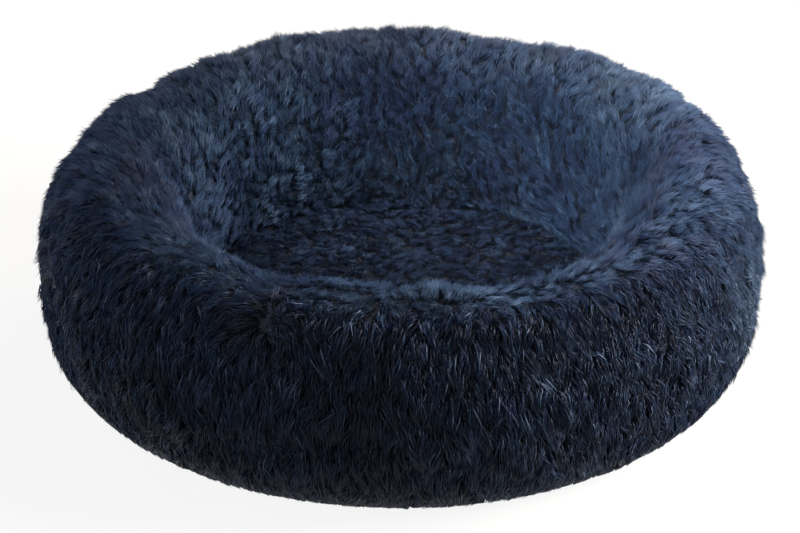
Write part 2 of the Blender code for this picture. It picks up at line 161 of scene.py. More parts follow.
studio = {
    "floorSize": 14.0,
    "floorColour": "626260",
    "floorLift": 0.89,  # what the camera sees of the floor is lifted to white by this much
    "worldColour": "dce6f8",
    "worldStrength": 0.10,
    "lamps": {
        # place, target, size, watts, colour, spread in degrees
        "skyPanel": ((0.90, 1.45, 1.90), (0.0, 0.10, 0.10), 1.8, 41.0, "ffe2c0", 180),
        "rightPanel": ((2.30, -0.05, 1.05), (0.0, 0.00, 0.10), 1.6, 157.0, "fdf9f3", 180),
        "leftPanel": ((-2.30, -0.20, 0.90), (0.0, 0.00, 0.10), 1.4, 15.5, "dce8ff", 180),
        "frontPanel": ((-0.5, -2.2, 2.3), (0.0, -0.10, 0.05), 0.7, 2.5, "f4f2ff", 180),
        "griddedPanel": ((-1.00, -1.60, 1.90), (0.27, 0.21, 0.17), 0.4, 2.0, "fbf2e8", 16),
    },
}


def emptyTree(block):
    block.use_nodes = True
    block.node_tree.nodes.clear()
    return block.node_tree


def seenDirectly(tree):
    # 1 for rays from the camera, and for those that gloss or clear matter sends on
    path = addNode(tree, "ShaderNodeLightPath")
    gloss = mathNode(tree, "MAXIMUM", path.outputs["Is Camera Ray"], path.outputs["Is Glossy Ray"])
    return mathNode(tree, "MAXIMUM", gloss, path.outputs["Is Transmission Ray"])


def output(tree, kind, unseen, seen):
    # the tree's output: one shader for light that bounces, the other for what is seen directly
    mix = addNode(tree, "ShaderNodeMixShader",
                  {0: seenDirectly(tree), 1: unseen.outputs[0], 2: seen.outputs[0]})
    addNode(tree, kind, {"Surface": mix.outputs[0]})


def makeFloor(s):
    # painted matt board: what is seen of it is near white, and the bed's shadow stays on it
    material = bpy.data.materials.new("mattPaintedBoard")
    tree = emptyTree(material)
    board = addNode(tree, "ShaderNodeBsdfDiffuse", {"Color": linearColour(s["floorColour"])})
    lift = addNode(tree, "ShaderNodeEmission", {"Color": (1, 1, 1, 1), "Strength": s["floorLift"]})
    lifted = addNode(tree, "ShaderNodeAddShader", {0: board.outputs[0], 1: lift.outputs[0]})
    output(tree, "ShaderNodeOutputMaterial", board, lifted)
    half = s["floorSize"] / 2
    corners = [(-half, -half, 0), (half, -half, 0), (half, half, 0), (-half, half, 0)]
    mesh = bpy.data.meshes.new("studioFloor")
    mesh.from_pydata(corners, [], [(0, 1, 2, 3)])
    mesh.materials.append(material)
    floor = newThing("studioFloor", mesh)


def makeLight(s):
    # a dim world that the camera sees as white, and round lamps turned towards their targets
    world = bpy.data.worlds.new("studioWorld")
    scene.world = world
    tree = emptyTree(world)
    soft = addNode(tree, "ShaderNodeBackground",
                   {"Color": linearColour(s["worldColour"]), "Strength": s["worldStrength"]})
    seen = addNode(tree, "ShaderNodeBackground", {"Color": (1, 1, 1, 1), "Strength": 1.0})
    output(tree, "ShaderNodeOutputWorld", soft, seen)
    for name, (place, target, size, watts, colour, spread) in s["lamps"].items():
        data = bpy.data.lights.new(name, "AREA")
        data.shape = "DISK"
        data.size = size
        data.spread = np.radians(spread)
        data.energy = watts
        data.color = linearColour(colour)[:3]
        turnTowards(newThing(name, data), place, target)


makeFloor(studio)
makeLight(studio)
print("floor and light set")


# Meshes

def joined(*parts):
    return np.stack(parts, axis=-1)


def raised(flat, height):
    # points (..., 3) from (..., 2) and their heights
    return np.concatenate([flat, height[..., None]], axis=-1)


def newMesh(name, points, faces):
    # points (n, 3), and a list of index arrays, one array for each number of corners
    mesh = bpy.data.meshes.new(name)
    corners = np.concatenate([group.ravel() for group in faces])
    sizes = np.concatenate([np.full(len(group), group.shape[1]) for group in faces])
    mesh.vertices.add(len(points))
    mesh.loops.add(len(corners))
    mesh.polygons.add(len(sizes))
    mesh.vertices.foreach_set("co", points.astype(np.float32).ravel())
    mesh.loops.foreach_set("vertex_index", corners.astype(np.int32))
    mesh.polygons.foreach_set("loop_start", (np.cumsum(sizes) - sizes).astype(np.int32))
    mesh.update(calc_edges=True)
    mesh.shade_smooth()
    return mesh, corners


def newPiece(name, mesh, material, node=None, body="bed"):
    # a piece with its material, slot and body, and the node whose plain form it replaces
    mesh.materials.append(material)
    piece = newThing(name, mesh)
    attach(piece, body)
    if node:
        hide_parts(node)
    return piece


def gridFaces(rows, columns, firstIndex=0, wrap=False):
    # quads of a grid of rows x columns points; wrap joins the last column to the first
    last = columns if wrap else columns - 1
    i, j = np.meshgrid(np.arange(rows - 1), np.arange(last), indexing="ij")
    k = (j + 1) % columns
    here, below = i * columns, (i + 1) * columns
    return joined(here + j, below + j, below + k, here + k).reshape(-1, 4) + firstIndex


def shell(name, outer, inner):
    # two open grids (rows, columns, 3), joined along their four edges into one closed wall
    rows, columns = outer.shape[:2]
    count = rows * columns
    index = np.arange(count).reshape(rows, columns)
    rim = np.concatenate([index[0, :-1], index[:-1, -1], index[-1, :0:-1], index[:0:-1, 0]])
    after = np.roll(rim, -1)
    wall = joined(rim, after, after + count, rim + count)
    faces = [gridFaces(rows, columns), gridFaces(rows, columns, count)[:, ::-1], wall]
    return newMesh(name, np.concatenate([outer.reshape(-1, 3), inner.reshape(-1, 3)]), faces)[0]


noise = {"waves": 14, "turnsPerSize": (0.6, 1.3), "strength": 0.19}


def wander(points, size, seed):
    # smooth noise of about -1 to 1: the sum of sine waves of random direction, each about size long
    rng = np.random.default_rng(seed)
    count = noise["waves"]
    flat = points.reshape(-1, points.shape[-1])
    waves = rng.normal(size=(count, flat.shape[1]))
    turns = rng.uniform(*noise["turnsPerSize"], (count, 1))
    waves *= 2 * np.pi / size * turns / np.linalg.norm(waves, axis=1, keepdims=True)
    total = np.sin(flat @ waves.T + rng.uniform(0, 2 * np.pi, count)).sum(axis=1) * noise["strength"]
    return total.reshape(points.shape[:-1])


def waved(points, waves):
    # the sum of smooth noises, each with its strength, size and seed
    return sum(strength * wander(points, size, seed) for strength, size, seed in waves)


def softWave(points, size, seed):
    # smooth noise from 0 to 1
    return 0.5 + 0.5 * np.clip(wander(points, size, seed), -1, 1)


def unit(vectors):
    return vectors / np.maximum(np.linalg.norm(vectors, axis=-1, keepdims=True), 1e-12)


def turned(radius, turn, height):
    # points at a radius and a height, at radians round Z
    return joined(radius * np.cos(turn), radius * np.sin(turn), height)


def degreesFrom(azimuth, centre):
    # from -180 to 180
    return (azimuth - centre + 180) % 360 - 180


def bell(away):
    return np.exp(-away ** 2)


def between(ends, share):
    return ends[0] + (ends[1] - ends[0]) * share


def evenly(path, steps):
    # the lengths at even steps along a path (n, 2), and its points there
    run = np.concatenate([[0], np.cumsum(np.linalg.norm(np.diff(path, axis=0), axis=1))])
    even = np.linspace(0, run[-1], steps)
    return even, joined(*(np.interp(even, run, values) for values in path.T))


def sines(points, waves, length):
    # for each wave: sin(2 pi (point . direction / length + start))
    return [np.sin(2 * np.pi * (points @ np.array(way) / length + start)) for *way, start in waves]


def dome(share, power):
    # sqrt(1 - share^power)
    return np.sqrt(np.maximum(1 - share ** power, 0))


# The ring's surface, as the covers' solids have it

ring = {
    "radius": 0.350,
    "height": 0.205,
    "widestHeight": 0.095,
    "crestRadius": 0.286,
    "footRadius": 0.308,
    "wellRadius": 0.196,
    "wellFootHeight": 0.050,
    "hemHeight": 0.001,
    "backHemHeight": 0.027,
    "fullness": 0.9,
    "sectionSteps": 600,
    "pileDepth": 0.020,
    "leftSeam": 144.0,
    "rightSeam": 6.0,
    "waveHeight": 0.0006,
    "waveLength": 0.095,
    "waves": (             # the stuffing's unevenness: the direction of each wave, and its start
        (0.9, 0.3, 0.2, 0.10),
        (-0.4, 0.8, 0.3, 0.35),
        (0.2, -0.9, 0.5, 0.60),
        (-0.7, -0.5, 0.4, 0.80),
        (0.6, 0.7, -0.6, 0.25),
        (1.1, -0.4, 0.3, 0.50),
        (-0.3, -0.2, 1.1, 0.90),
        (0.5, 1.0, 0.4, 0.05),
    ),
    "hollowSize": 0.014,
    "hollows": (           # azimuth, then shares of radius, height, size and pile depth
        (248, 0.922, 0.922, 1.10, 0.375),
        (4, 0.689, 0.923, 0.96, 0.30),
        (355.5, 0.914, 0.936, 0.82, 0.25),
        (352.5, 0.944, 0.877, 0.71, 0.225),
        (346, 0.959, 0.830, 0.75, 0.225),
        (334, 0.947, 0.868, 0.82, 0.225),
    ),
    "smallLump": 0.0016,
    "smallLumpSize": 0.042,
    "swells": (            # azimuth, half width, then share at the outer wall, crest and inner wall
        (144, 9, -0.26, -0.30, -0.32),
        (6, 8, -0.18, -0.30, -0.15),
        (298, 22, -0.05, -0.55, -0.35),
        (71, 13, -0.05, -0.18, 0.10),
        (84, 9, 0.05, 0.14, 0.00),
        (104, 9, 0.00, 0.22, 0.00),
        (111, 15, 0.10, 0.06, 0.15),
        (44, 15, 0.20, 0.22, 0.05),
        (41, 5, -0.04, -0.32, 0.00),
        (33, 5, 0.02, 0.16, 0.00),
        (18, 8, 0.24, 0.14, 0.00),
        (242, 7, -0.10, -0.30, 0.10),
        (225, 16, 0.22, 0.05, 0.10),
        (318, 12, -0.20, -0.05, 0.10),
        (350, 16, -0.16, 0.00, 0.00),
        (288, 14, 0.20, 0.00, 0.00),
        (192, 18, -0.12, 0.10, 0.15),
        (168, 9, -0.18, -0.20, 0.00),
        (173, 4, 0.00, -0.08, -0.33),
    ),
}


def ovalPoints(centre, reach, first, last, power, count=200):
    # centre + reach * (cos, sin) of the angle, each raised to the power with its sign kept
    angle = np.radians(np.linspace(first, last, count))
    bow = joined(np.cos(angle), np.sin(angle))
    return np.array(centre) + np.array(reach) * np.sign(bow) * np.abs(bow) ** power


def innerWall(depth, first, last):
    # an oval in by the depth: the well's foot lies at 180 degrees, and the crest at 90
    s = ring
    crest, foot = s["crestRadius"], s["wellFootHeight"]
    reach = (crest - s["wellRadius"] - depth, s["height"] - depth - foot)
    return ovalPoints((crest, foot), reach, first, last, s["fullness"])


def upperWall(depth):
    # an oval in by the depth, from the crest to the widest place
    s = ring
    crest, widest = s["crestRadius"], s["widestHeight"]
    reach = (s["radius"] - depth - crest, s["height"] - depth - widest)
    return ovalPoints((crest, widest), reach, 90, 0, s["fullness"])


def sectionTable(s):
    # up the inner wall, over the crest and down the outer wall, at even steps of its length
    foot, widest = s["footRadius"], s["widestHeight"]
    hemAngle = -np.degrees(np.arcsin(1 - s["hemHeight"] / widest))
    lower = ovalPoints((foot, widest), (s["radius"] - foot, widest), 0, hemAngle, 1)
    path = np.concatenate([innerWall(0, 180, 90), upperWall(0)[1:], lower[1:]])
    even, path = evenly(path, s["sectionSteps"])
    slope = np.gradient(path, axis=0)
    out, up = unit(joined(-slope[:, 1], slope[:, 0])).T
    return {"run": even, "radius": path[:, 0], "height": path[:, 1], "out": out, "up": up}


section = sectionTable(ring)
firstRun = 0.0005
crestRun = section["run"][np.argmax(section["height"])]
backEndRun = section["run"][np.flatnonzero(section["height"] > ring["backHemHeight"])[-1]]
fullRun = section["run"][-1]


def sectionAt(run, key):
    return np.interp(run, section["run"], section[key])


def ringPoint(azimuth, run, depth):
    # the section's point, moved by the swells from the section's middle, and in by the depth
    s = ring
    radius, height = sectionAt(run, "radius"), sectionAt(run, "height")
    normal = unit(joined(sectionAt(run, "out"), sectionAt(run, "up")))
    across, up = radius - s["crestRadius"], height - s["widestHeight"]
    reach = np.hypot(across, up)
    crest = np.maximum(up, 0) ** 2 / reach ** 2
    outer = np.where(across > 0, 1 - crest, 0)
    inner = np.where(across <= 0, 1 - crest, 0)
    foot = np.where(across > 0, s["backHemHeight"], s["wellFootHeight"])
    rise = np.clip((height - foot) / (s["widestHeight"] - foot), 0, 1)
    swell = np.zeros_like(radius)
    for centre, width, atOuter, atCrest, atInner in s["swells"]:
        share = atOuter * outer + atCrest * crest + atInner * inner
        swell += share * bell(degreesFrom(azimuth, centre) / width)
    turn = np.radians(azimuth)
    where = turned(radius, turn, height)
    move = swell * s["pileDepth"] + s["smallLump"] * wander(where, s["smallLumpSize"], seed=6)
    for wave in sines(where, s["waves"], s["waveLength"]):
        move += s["waveHeight"] * wave
    for centre, out, tall, size, deep in s["hollows"]:
        middle = turned(out * s["radius"], np.radians(centre), tall * s["height"])
        away = np.linalg.norm(where - middle, axis=-1) / (size * s["hollowSize"])
        move -= deep * s["pileDepth"] * bell(away)
    move *= rise * rise * (3 - 2 * rise)
    newRadius = radius + move * across / reach - depth * normal[..., 0]
    newHeight = height + move * up / reach - depth * normal[..., 1]
    return turned(newRadius, turn, newHeight)


def surfaceFrame(pointAt, places, step):
    # a point with its unit directions: along the second parameter, along the first, and outwards
    here = pointAt(places)
    around = unit(pointAt(places + np.array([step[0], 0])) - here)
    along = unit(pointAt(places + np.array([0, step[1]])) - here)
    return here, along, around, unit(np.cross(along, around))


# Long pile: pointed locks of fibre in tufts, rooted in the backing

pile = {
    # a pair is for the close pile, whose locks are fine and straight, and for where the pile
    # hangs loose down the front, with fewer, wider and bent locks
    "tuftGap": 0.0085,  # between tufts on the backing
    "rowGap": 0.87,  # between their rows, as a share of that, and how far they stray
    "jitter": (-0.35, 0.35),
    "locks": (29, 12),  # in a tuft
    "looseFrom": (0.10, 0.35),  # a tuft is loose where its share is over a number between these
    "tuftRadius": 0.0056,
    "tuftRadiusShare": (0.75, 1.25),
    "spiral": 2.39996,  # the golden angle, in radians
    "backingDepth": 0.0052,  # the backing lies this far under the pile's outer surface
    "length": 0.0132,
    "hangLength": 0.0104,  # longer by this where it hangs
    "lengthSpread": 0.10,
    "halfWidth": (0.00055, 0.00074),
    "widthShare": (0.8, 1.2),
    "gather": (0.56, 0.86),  # how far a tuft's tips draw together, and a share of it for the bends
    "bendGather": 0.3,
    "closeRootLessShade": 0.42,  # where the pile is close, a lock's map starts this far up, so less painted shade lies on its root
    "rise": 0.0062,  # how far a lock stands up before it leans, and then leans at its bend
    "bendLean": 0.12,
    "droop": 0.06,
    "levels": ((0.0, 1.0), (0.0, 0.52, 1.0)),
    "widths": ((1.0,), (1.0, 0.92)),
    "lift": (29.0, 10.0),  # degrees above the surface, and its spread
    "liftSpread": 6.0,
    "turnSpread": (23.0, 15.0),  # degrees that each tuft turns from the lie of the pile
    "lockTurnSpread": 7.0,
    "unrest": 0.13,  # how far a lock's bend strays, as a share of its length
    "closeUnrest": 0.09,  # and a close lock's tip
    "hemReach": 0.045,  # over this stretch above the hem the locks are trimmed shorter
    "hemShare": 0.40,
    "tuckHeight": 0.034,  # below this the tips keep to the outline of the cover
    "floorGap": 0.0022,
    "backTipHeight": 0.0250,  # the trimmed edge over the zip
    "softness": 0.003,
    "mapRange": (0.02, 0.98),  # a lock's heights on the map, from root to tip
    "tintRange": (0.02, 0.94),  # and its tints across
    "facetTint": 0.004,
    "mostTint": 0.76,  # only single pale locks go beyond this
    "tintSpread": 0.10,
    "tuftTintSpread": (0.075, 0.16),
    "paleGlintTint": (0.36, 0.72),  # single pale locks among the navy, and their shares; on the loose front many more of them, as painted highlights: glints along the hanging fibre
    "paleGlintShare": (0.020, 0.19),
    "frontPieces": 6,
    "backPieces": 4,
}

# How the ring's pile lies. Waves are of strength, size and seed.
nap = {
    "hangMiddle": 262,  # it hangs loose about this azimuth, and this half width in degrees
    "hangWidth": 58,
    "hangStart": 0.010,  # metres from the crest down, and over how many it begins to hang
    "hangBlend": 0.026,
    "turnWaves": ((20, 0.17, 11), (28, 0.046, 12)),
    "hangCalm": 0.45,  # that much less where it hangs
    "innerLift": 4,
    "outerDrop": 8,
    "outerBlend": 0.05,
    "liftWaves": ((6, 0.028, 13),),
    "lengthWaves": ((0.10, 0.032, 14),),
    "tint": 0.48,
    "tuftWaves": ((1, 0.032, 15),),
    "tuftWaveTint": 0.11,  # and more by this where it hangs
    "hangWaveTint": 0.06,
    "wideWaves": ((0.12, 0.16, 16),),
    "hangPaintedShade": 0.44,  # painted shade: the loose front's locks are tinted darker, for the shade down the front wall
    "crestMiddle": 245,  # the front's crest: azimuth, half width, rise and height
    "crestDegrees": 75,
    "crestRise": 0.004,
    "crestWidth": 0.018,
    "crestPaintedLight": 0.18,  # painted light: there the tips are tinted paler where the light falls on them, and they stand in short tufts of their own
    "crestUnrest": 9.0,
    "crestTintSpread": 0.09,
    "limits": (6, 70),  # of the lift
}
# At the whorl, "darker" tints the parting's middle darker as painted shade; at the spikes, "paler" is painted
# light on their lit tips
whorl = {"azimuth": 248.0, "run": crestRun + 0.041, "size": 0.036, "pull": 1.4, "darker": 0.16}
spikes = {"azimuth": 277.0, "run": crestRun - 0.010, "size": 0.020, "lift": 52.0, "longer": 0.55,
          "paler": 0.02}
# Patches of painted shade, where the tint is below 0, and of painted light, where it is above:
# azimuth, its width in degrees, metres along the run from the crest, their width, tint
paintedShadeAndLight = (
    (185, 18, -0.060, 0.050, -0.22),
    (205, 15, 0.005, 0.040, -0.20),
    (322, 13, 0.095, 0.045, -0.12),
    (341, 11, 0.125, 0.050, 0.26),
)


def makePileFinish():
    # Faux fur: fine crimped polyester fibre, dyed navy. Dark between the locks as painted shade:
    # each lock is darkened towards its root. Blue grey where the tips catch the light, with a soft
    # sheen along the fibre that the dye tints. The dark loose locks shine more.
    material, tree, shader = newFinish("navyFauxFurPile", 0.52, Specular_IOR_Level=0.23, Sheen_Weight=0.08,
                                       Specular_Tint=linearColour("dae2f8"), Sheen_Roughness=0.5,
                                       Sheen_Tint=linearColour("9cb2d4"))
    place = addNode(tree, "ShaderNodeUVMap", uv_map="OFBake")
    split = addNode(tree, "ShaderNodeSeparateXYZ", {"Vector": place.outputs["UV"]})
    tint = ramped(tree, split.outputs["X"], [(0.05, "050c25"), (0.35, "11264c"), (0.62, "2b4562"),
                                             (0.84, "4c6583"), (1.0, "8e9cba")])
    # painted shade: each lock's colour is darkened from its tip down to near black at its root, deep in the
    # pile
    depth = ramped(tree, split.outputs["Y"], [(0.0, "262626"), (0.35, "6c6c6c"), (0.75, "e0e0e0"),
                                              (1.0, "ffffff")])
    colour = addNode(tree, "ShaderNodeMix", {0: 1.0, 6: tint, 7: depth},
                     data_type="RGBA", blend_type="MULTIPLY")
    tree.links.new(colour.outputs[2], shader.inputs["Base Color"])
    shine = addNode(tree, "ShaderNodeMapRange", {"Value": split.outputs["X"], "From Min": 0.05,
                                                 "From Max": 0.32, "To Min": 0.40, "To Max": 0.54})
    tree.links.new(shine.outputs[0], shader.inputs["Roughness"])
    return material


pileFinish = makePileFinish()
# Knitted polyester backing with the pile's short roots, quite matt: coloured nearly black as painted shade,
# which falls deep between the tufts
backingFinish = grainFinish("knittedPileBacking", 0.95, {"Scale": 420.0, "Detail": 2.0},
                            [(0.35, "0b111e"), (0.7, "141d30")], bump=(0.0008, 0.6))


def growLocks(places, shiftPlaces, frameAt, lie, settle, loose, seed):
    # a tuft at each place: its locks stand in a spiral, rise along the surface's normal, and lean
    # with the lie of the pile towards the tuft's own tip. Gives roots, bends, tips, sides, tints.
    p = pile
    rng = np.random.default_rng(seed)
    count, each = len(places), p["locks"][loose]
    middle = frameAt(places)[0]
    turn, lift, length, tint, hang = lie(places, middle, rng)
    gather = between(p["gather"], hang)[:, None, None]
    hang = hang[:, None]
    turn = turn[:, None] + rng.normal(0, p["lockTurnSpread"], (count, each))
    turn, lift = np.radians(turn)[..., None], np.radians(lift)[:, None, None]
    angle = np.arange(each) * p["spiral"] + rng.uniform(0, 2 * np.pi, (count, 1))
    spread = p["tuftRadius"] * np.sqrt((np.arange(each) + 0.5) / each)
    spread = spread * rng.uniform(*p["tuftRadiusShare"], (count, each))
    offsets = joined(spread * np.cos(angle), spread * np.sin(angle))
    root, lockAlong, lockAround, lockNormal = (
        vectors.reshape(count, each, 3) for vectors in frameAt(shiftPlaces(places, offsets).reshape(-1, 2)))
    flow = np.cos(turn) * lockAlong + np.sin(turn) * lockAround
    length = length[:, None, None] * rng.normal(1, p["lengthSpread"], (count, each, 1))
    outwards = root - middle[:, None]
    tip = root + length * (np.cos(lift) * flow + np.sin(lift) * lockNormal) - gather * outwards
    bend = root + p["rise"] * lockNormal + p["bendLean"] * length * flow - p["bendGather"] * gather * outwards
    bend += p["unrest"] * length * rng.normal(size=bend.shape)
    tip[..., 2] -= p["droop"] * length[..., 0] * np.abs(flow[..., :2]).sum(-1)
    if not loose:
        tip += p["closeUnrest"] * length * rng.normal(size=tip.shape)
        bend = (root + tip) / 2
    root, bend, tip = (settle(places, point) for point in (root, bend, tip))
    tint = tint[:, None] + rng.normal(0, p["tintSpread"], (count, each))
    # pale single locks, on the loose front mostly painted highlights
    tint += between(p["paleGlintTint"], hang) * (rng.uniform(size=(count, each)) < between(p["paleGlintShare"], hang))
    # a close lock's root carries less of the painted shade
    low = np.repeat(p["mapRange"][0] + p["closeRootLessShade"] * (1 - hang), each, axis=1)
    halfWidth = np.repeat(between(p["halfWidth"], hang), each, axis=1)
    return {"root": root, "bend": bend, "tip": tip, "side": np.cross(flow, lockNormal),
            "tint": np.clip(tint, *p["tintRange"]), "low": low, "halfWidth": halfWidth, "loose": loose}


def lockForms(locks, chosen, seed):
    # three-sided spikes along B(t) = (1-t)^2 root + 2t(1-t) bend + t^2 tip. The map holds each
    # lock's tint across, and the height from its root up. A close lock has no ring at its bend.
    p = pile
    root, bend, tip, side = (locks[key][chosen].reshape(-1, 3) for key in ("root", "bend", "tip", "side"))
    levels, widths = p["levels"][locks["loose"]], p["widths"][locks["loose"]]
    count, rings = len(root), len(widths)
    rng = np.random.default_rng(seed)
    t = np.array(levels)[None, :, None]
    line = (1 - t) ** 2 * root[:, None] + 2 * t * (1 - t) * bend[:, None] + t ** 2 * tip[:, None]
    t = t[:, :rings]
    forward = unit((1 - t) * (bend - root)[:, None] + t * (tip - bend)[:, None])
    across = unit(side[:, None] - (side[:, None] * forward).sum(-1, keepdims=True) * forward)
    other = np.cross(forward, across)
    corner = (rng.uniform(0, 2 * np.pi, (count, 1)) + np.arange(3) * 2 * np.pi / 3)[:, None, :, None]
    reach = locks["halfWidth"][chosen].reshape(-1, 1, 1, 1) * rng.uniform(*p["widthShare"], (count, 1, 1, 1))
    reach = reach * np.array(widths)[None, :, None, None]
    wall = line[:, :rings, None] + reach * (across[:, :, None] * np.cos(corner)
                                            + other[:, :, None] * np.sin(corner))
    points = np.concatenate([wall.reshape(count, 3 * rings, 3), line[:, rings:]], axis=1)
    ends = [(i, (i + 1) % 3) for i in range(3)]
    quads = [(3 * k + i, 3 * k + j, 3 * k + 3 + j, 3 * k + 3 + i) for k in range(rings - 1) for i, j in ends]
    last = 3 * rings
    triangles = [(2, 1, 0)] + [(last - 3 + i, last - 3 + j, last) for i, j in ends]
    first = (np.arange(count) * (last + 1))[:, None, None]
    faces = [(np.array(group)[None] + first).reshape(-1, len(group[0]))
             for group in (quads, triangles) if group]
    spread = np.empty((count, last + 1, 2))
    facets = np.array([-p["facetTint"], 0, p["facetTint"]] * rings + [0])
    spread[..., 0] = locks["tint"][chosen].reshape(-1, 1) + facets
    low = locks["low"][chosen].reshape(-1, 1)
    spread[..., 1] = low + (p["mapRange"][1] - low) * np.repeat(levels, [3] * rings + [1])
    return points.reshape(-1, 3), faces, np.clip(spread, 0, 1).reshape(-1, 2)


def lockPiece(name, sets, seed):
    # one piece of pile from sets of locks, each with the tufts that are chosen from it
    points, faces, spreads = [], [], []
    first = 0
    for locks, chosen in sets:
        if chosen.any():
            more, groups, spread = lockForms(locks, chosen, seed)
            points.append(more)
            faces += [group + first for group in groups]
            spreads.append(spread)
            first += len(more)
    mesh, corners = newMesh(name, np.concatenate(points), faces)
    layer = mesh.uv_layers.new(name="OFBake")
    layer.data.foreach_set("uv", np.concatenate(spreads)[corners].astype(np.float32).ravel())
    newPiece(name, mesh, pileFinish)


def ringAt(places, depth=pile["backingDepth"]):
    return ringPoint(places[..., 0], places[..., 1], depth)


def ringFrame(places):
    # its directions come from steps of 0.05 degrees and 0.4 mm
    return surfaceFrame(ringAt, places, (0.05, 0.0004))


def onBack(azimuth):
    azimuth = azimuth % 360
    return (azimuth > ring["rightSeam"]) & (azimuth < ring["leftSeam"])


def ringShift(places, offsets):
    # a lock's azimuth and run, from its tuft's and the metres round the ring and along it
    radius = sectionAt(places[:, 1], "radius")[:, None]
    azimuth = places[:, None, 0] + np.degrees(offsets[..., 0] / radius)
    end = np.where(onBack(places[:, 0]), backEndRun, fullRun)[:, None]
    run = np.clip(places[:, None, 1] + offsets[..., 1], firstRun, end)
    return joined(azimuth, run)


def ringTufts(gap, seed):
    # a jittered grid over azimuth and run, with as many tufts in a row as its girth holds
    rng = np.random.default_rng(seed)
    rows = []
    for run in np.arange(gap / 3, fullRun, gap * pile["rowGap"]):
        count = round(2 * np.pi * sectionAt(run, "radius") / gap)
        azimuth = (np.arange(count) + rng.uniform() + rng.uniform(*pile["jitter"], count)) * 360 / count % 360
        rows.append(joined(azimuth, run + gap * rng.uniform(*pile["jitter"], count)))
    places = np.concatenate(rows)
    places[:, 1] = np.clip(places[:, 1], 2 * firstRun, fullRun)
    return places[~(onBack(places[:, 0]) & (places[:, 1] > backEndRun))]


def nearSpot(places, spot):
    # bell of the distance from a spot on the ring, and metres from it round the ring and along the run
    around = np.radians(degreesFrom(places[:, 0], spot["azimuth"])) * sectionAt(places[:, 1], "radius")
    along = places[:, 1] - spot["run"]
    return np.exp(-(around ** 2 + along ** 2) / spot["size"] ** 2), around, along


def ringHang(places):
    # from 0, close pile, to 1 where it hangs loose down the front
    front = bell(degreesFrom(places[:, 0], nap["hangMiddle"]) / nap["hangWidth"])
    return front * np.clip((places[:, 1] - crestRun - nap["hangStart"]) / nap["hangBlend"], 0, 1)


def ringLie(places, middle, rng):
    # the pile runs from the well over the crest and down; it wanders, and parts at the whorl
    p, n = pile, nap
    count = len(places)
    down = places[:, 1] - crestRun
    hang = ringHang(places)
    turn = np.radians(waved(middle, n["turnWaves"]) * (1 - n["hangCalm"] * hang))
    near, around, along = nearSpot(places, whorl)
    near = whorl["pull"] * near
    reach = np.hypot(around, along) + 1e-6
    x = np.sin(turn) + near * around / reach
    y = np.cos(turn) + near * along / reach
    turn = np.degrees(np.arctan2(x, y)) + between(p["turnSpread"], hang) * rng.normal(size=count)
    inner = np.clip(-down / crestRun, 0, 1)
    outer = np.clip(down / n["outerBlend"], 0, 1)
    lift = between(p["lift"], hang) + n["innerLift"] * inner - n["outerDrop"] * outer * (1 - hang)
    crest = bell((down + n["crestRise"]) / n["crestWidth"])
    crest *= bell(degreesFrom(places[:, 0], n["crestMiddle"]) / n["crestDegrees"])
    spread = p["liftSpread"] + n["crestUnrest"] * crest
    lift += waved(middle, n["liftWaves"]) + spread * rng.normal(size=count)
    upright = nearSpot(places, spikes)[0]
    lift += spikes["lift"] * upright
    length = (p["length"] + p["hangLength"] * hang) * (1 + waved(middle, n["lengthWaves"])
                                                       + spikes["longer"] * upright)
    toHem = (fullRun - places[:, 1]) / p["hemReach"]
    length *= np.where(onBack(places[:, 0]), 1, np.clip(toHem, p["hemShare"], 1))
    tuftWave = n["tuftWaveTint"] + n["hangWaveTint"] * hang
    tint = n["tint"] + tuftWave * waved(middle, n["tuftWaves"]) + waved(middle, n["wideWaves"])
    spread = between(p["tuftTintSpread"], hang) + n["crestTintSpread"] * crest
    # painted light on the front crest's tips
    tint += n["crestPaintedLight"] * crest + spread * rng.normal(size=count)
    # painted shade on the loose front and at the whorl's middle, and painted light on the upright spikes
    tint -= n["hangPaintedShade"] * hang + whorl["darker"] * np.minimum(near, 1) ** 4 - spikes["paler"] * upright
    # painted shade and painted light in patches
    for azimuth, degrees, run, metres, change in paintedShadeAndLight:
        away = degreesFrom(places[:, 0], azimuth) / degrees
        tint += change * np.exp(-away ** 2 - ((down - run) / metres) ** 2)
    return turn, np.clip(lift, *n["limits"]), length, np.minimum(tint, p["mostTint"]), hang


def ringSettle(places, points):
    # keeps the outer wall's locks off the floor, or above the zip, and the hem within its outline
    p = pile
    outside = (places[:, 1] > crestRun)[:, None]
    floor = np.where(onBack(places[:, 0])[:, None] & outside, p["backTipHeight"], p["floorGap"])
    above = points[..., 2] - floor
    height = floor + (above + np.sqrt(above ** 2 + p["softness"] ** 2)) / 2
    low = section["run"] > crestRun
    limit = np.interp(height, section["height"][low][::-1], section["radius"][low][::-1])
    radius = np.hypot(points[..., 0], points[..., 1])
    share = np.clip((p["tuckHeight"] - height) / (0.5 * p["tuckHeight"]), 0, 1) * outside
    scale = 1 + share * (np.minimum(radius, limit) / radius - 1)
    return raised(points[..., :2] * scale[..., None], height)


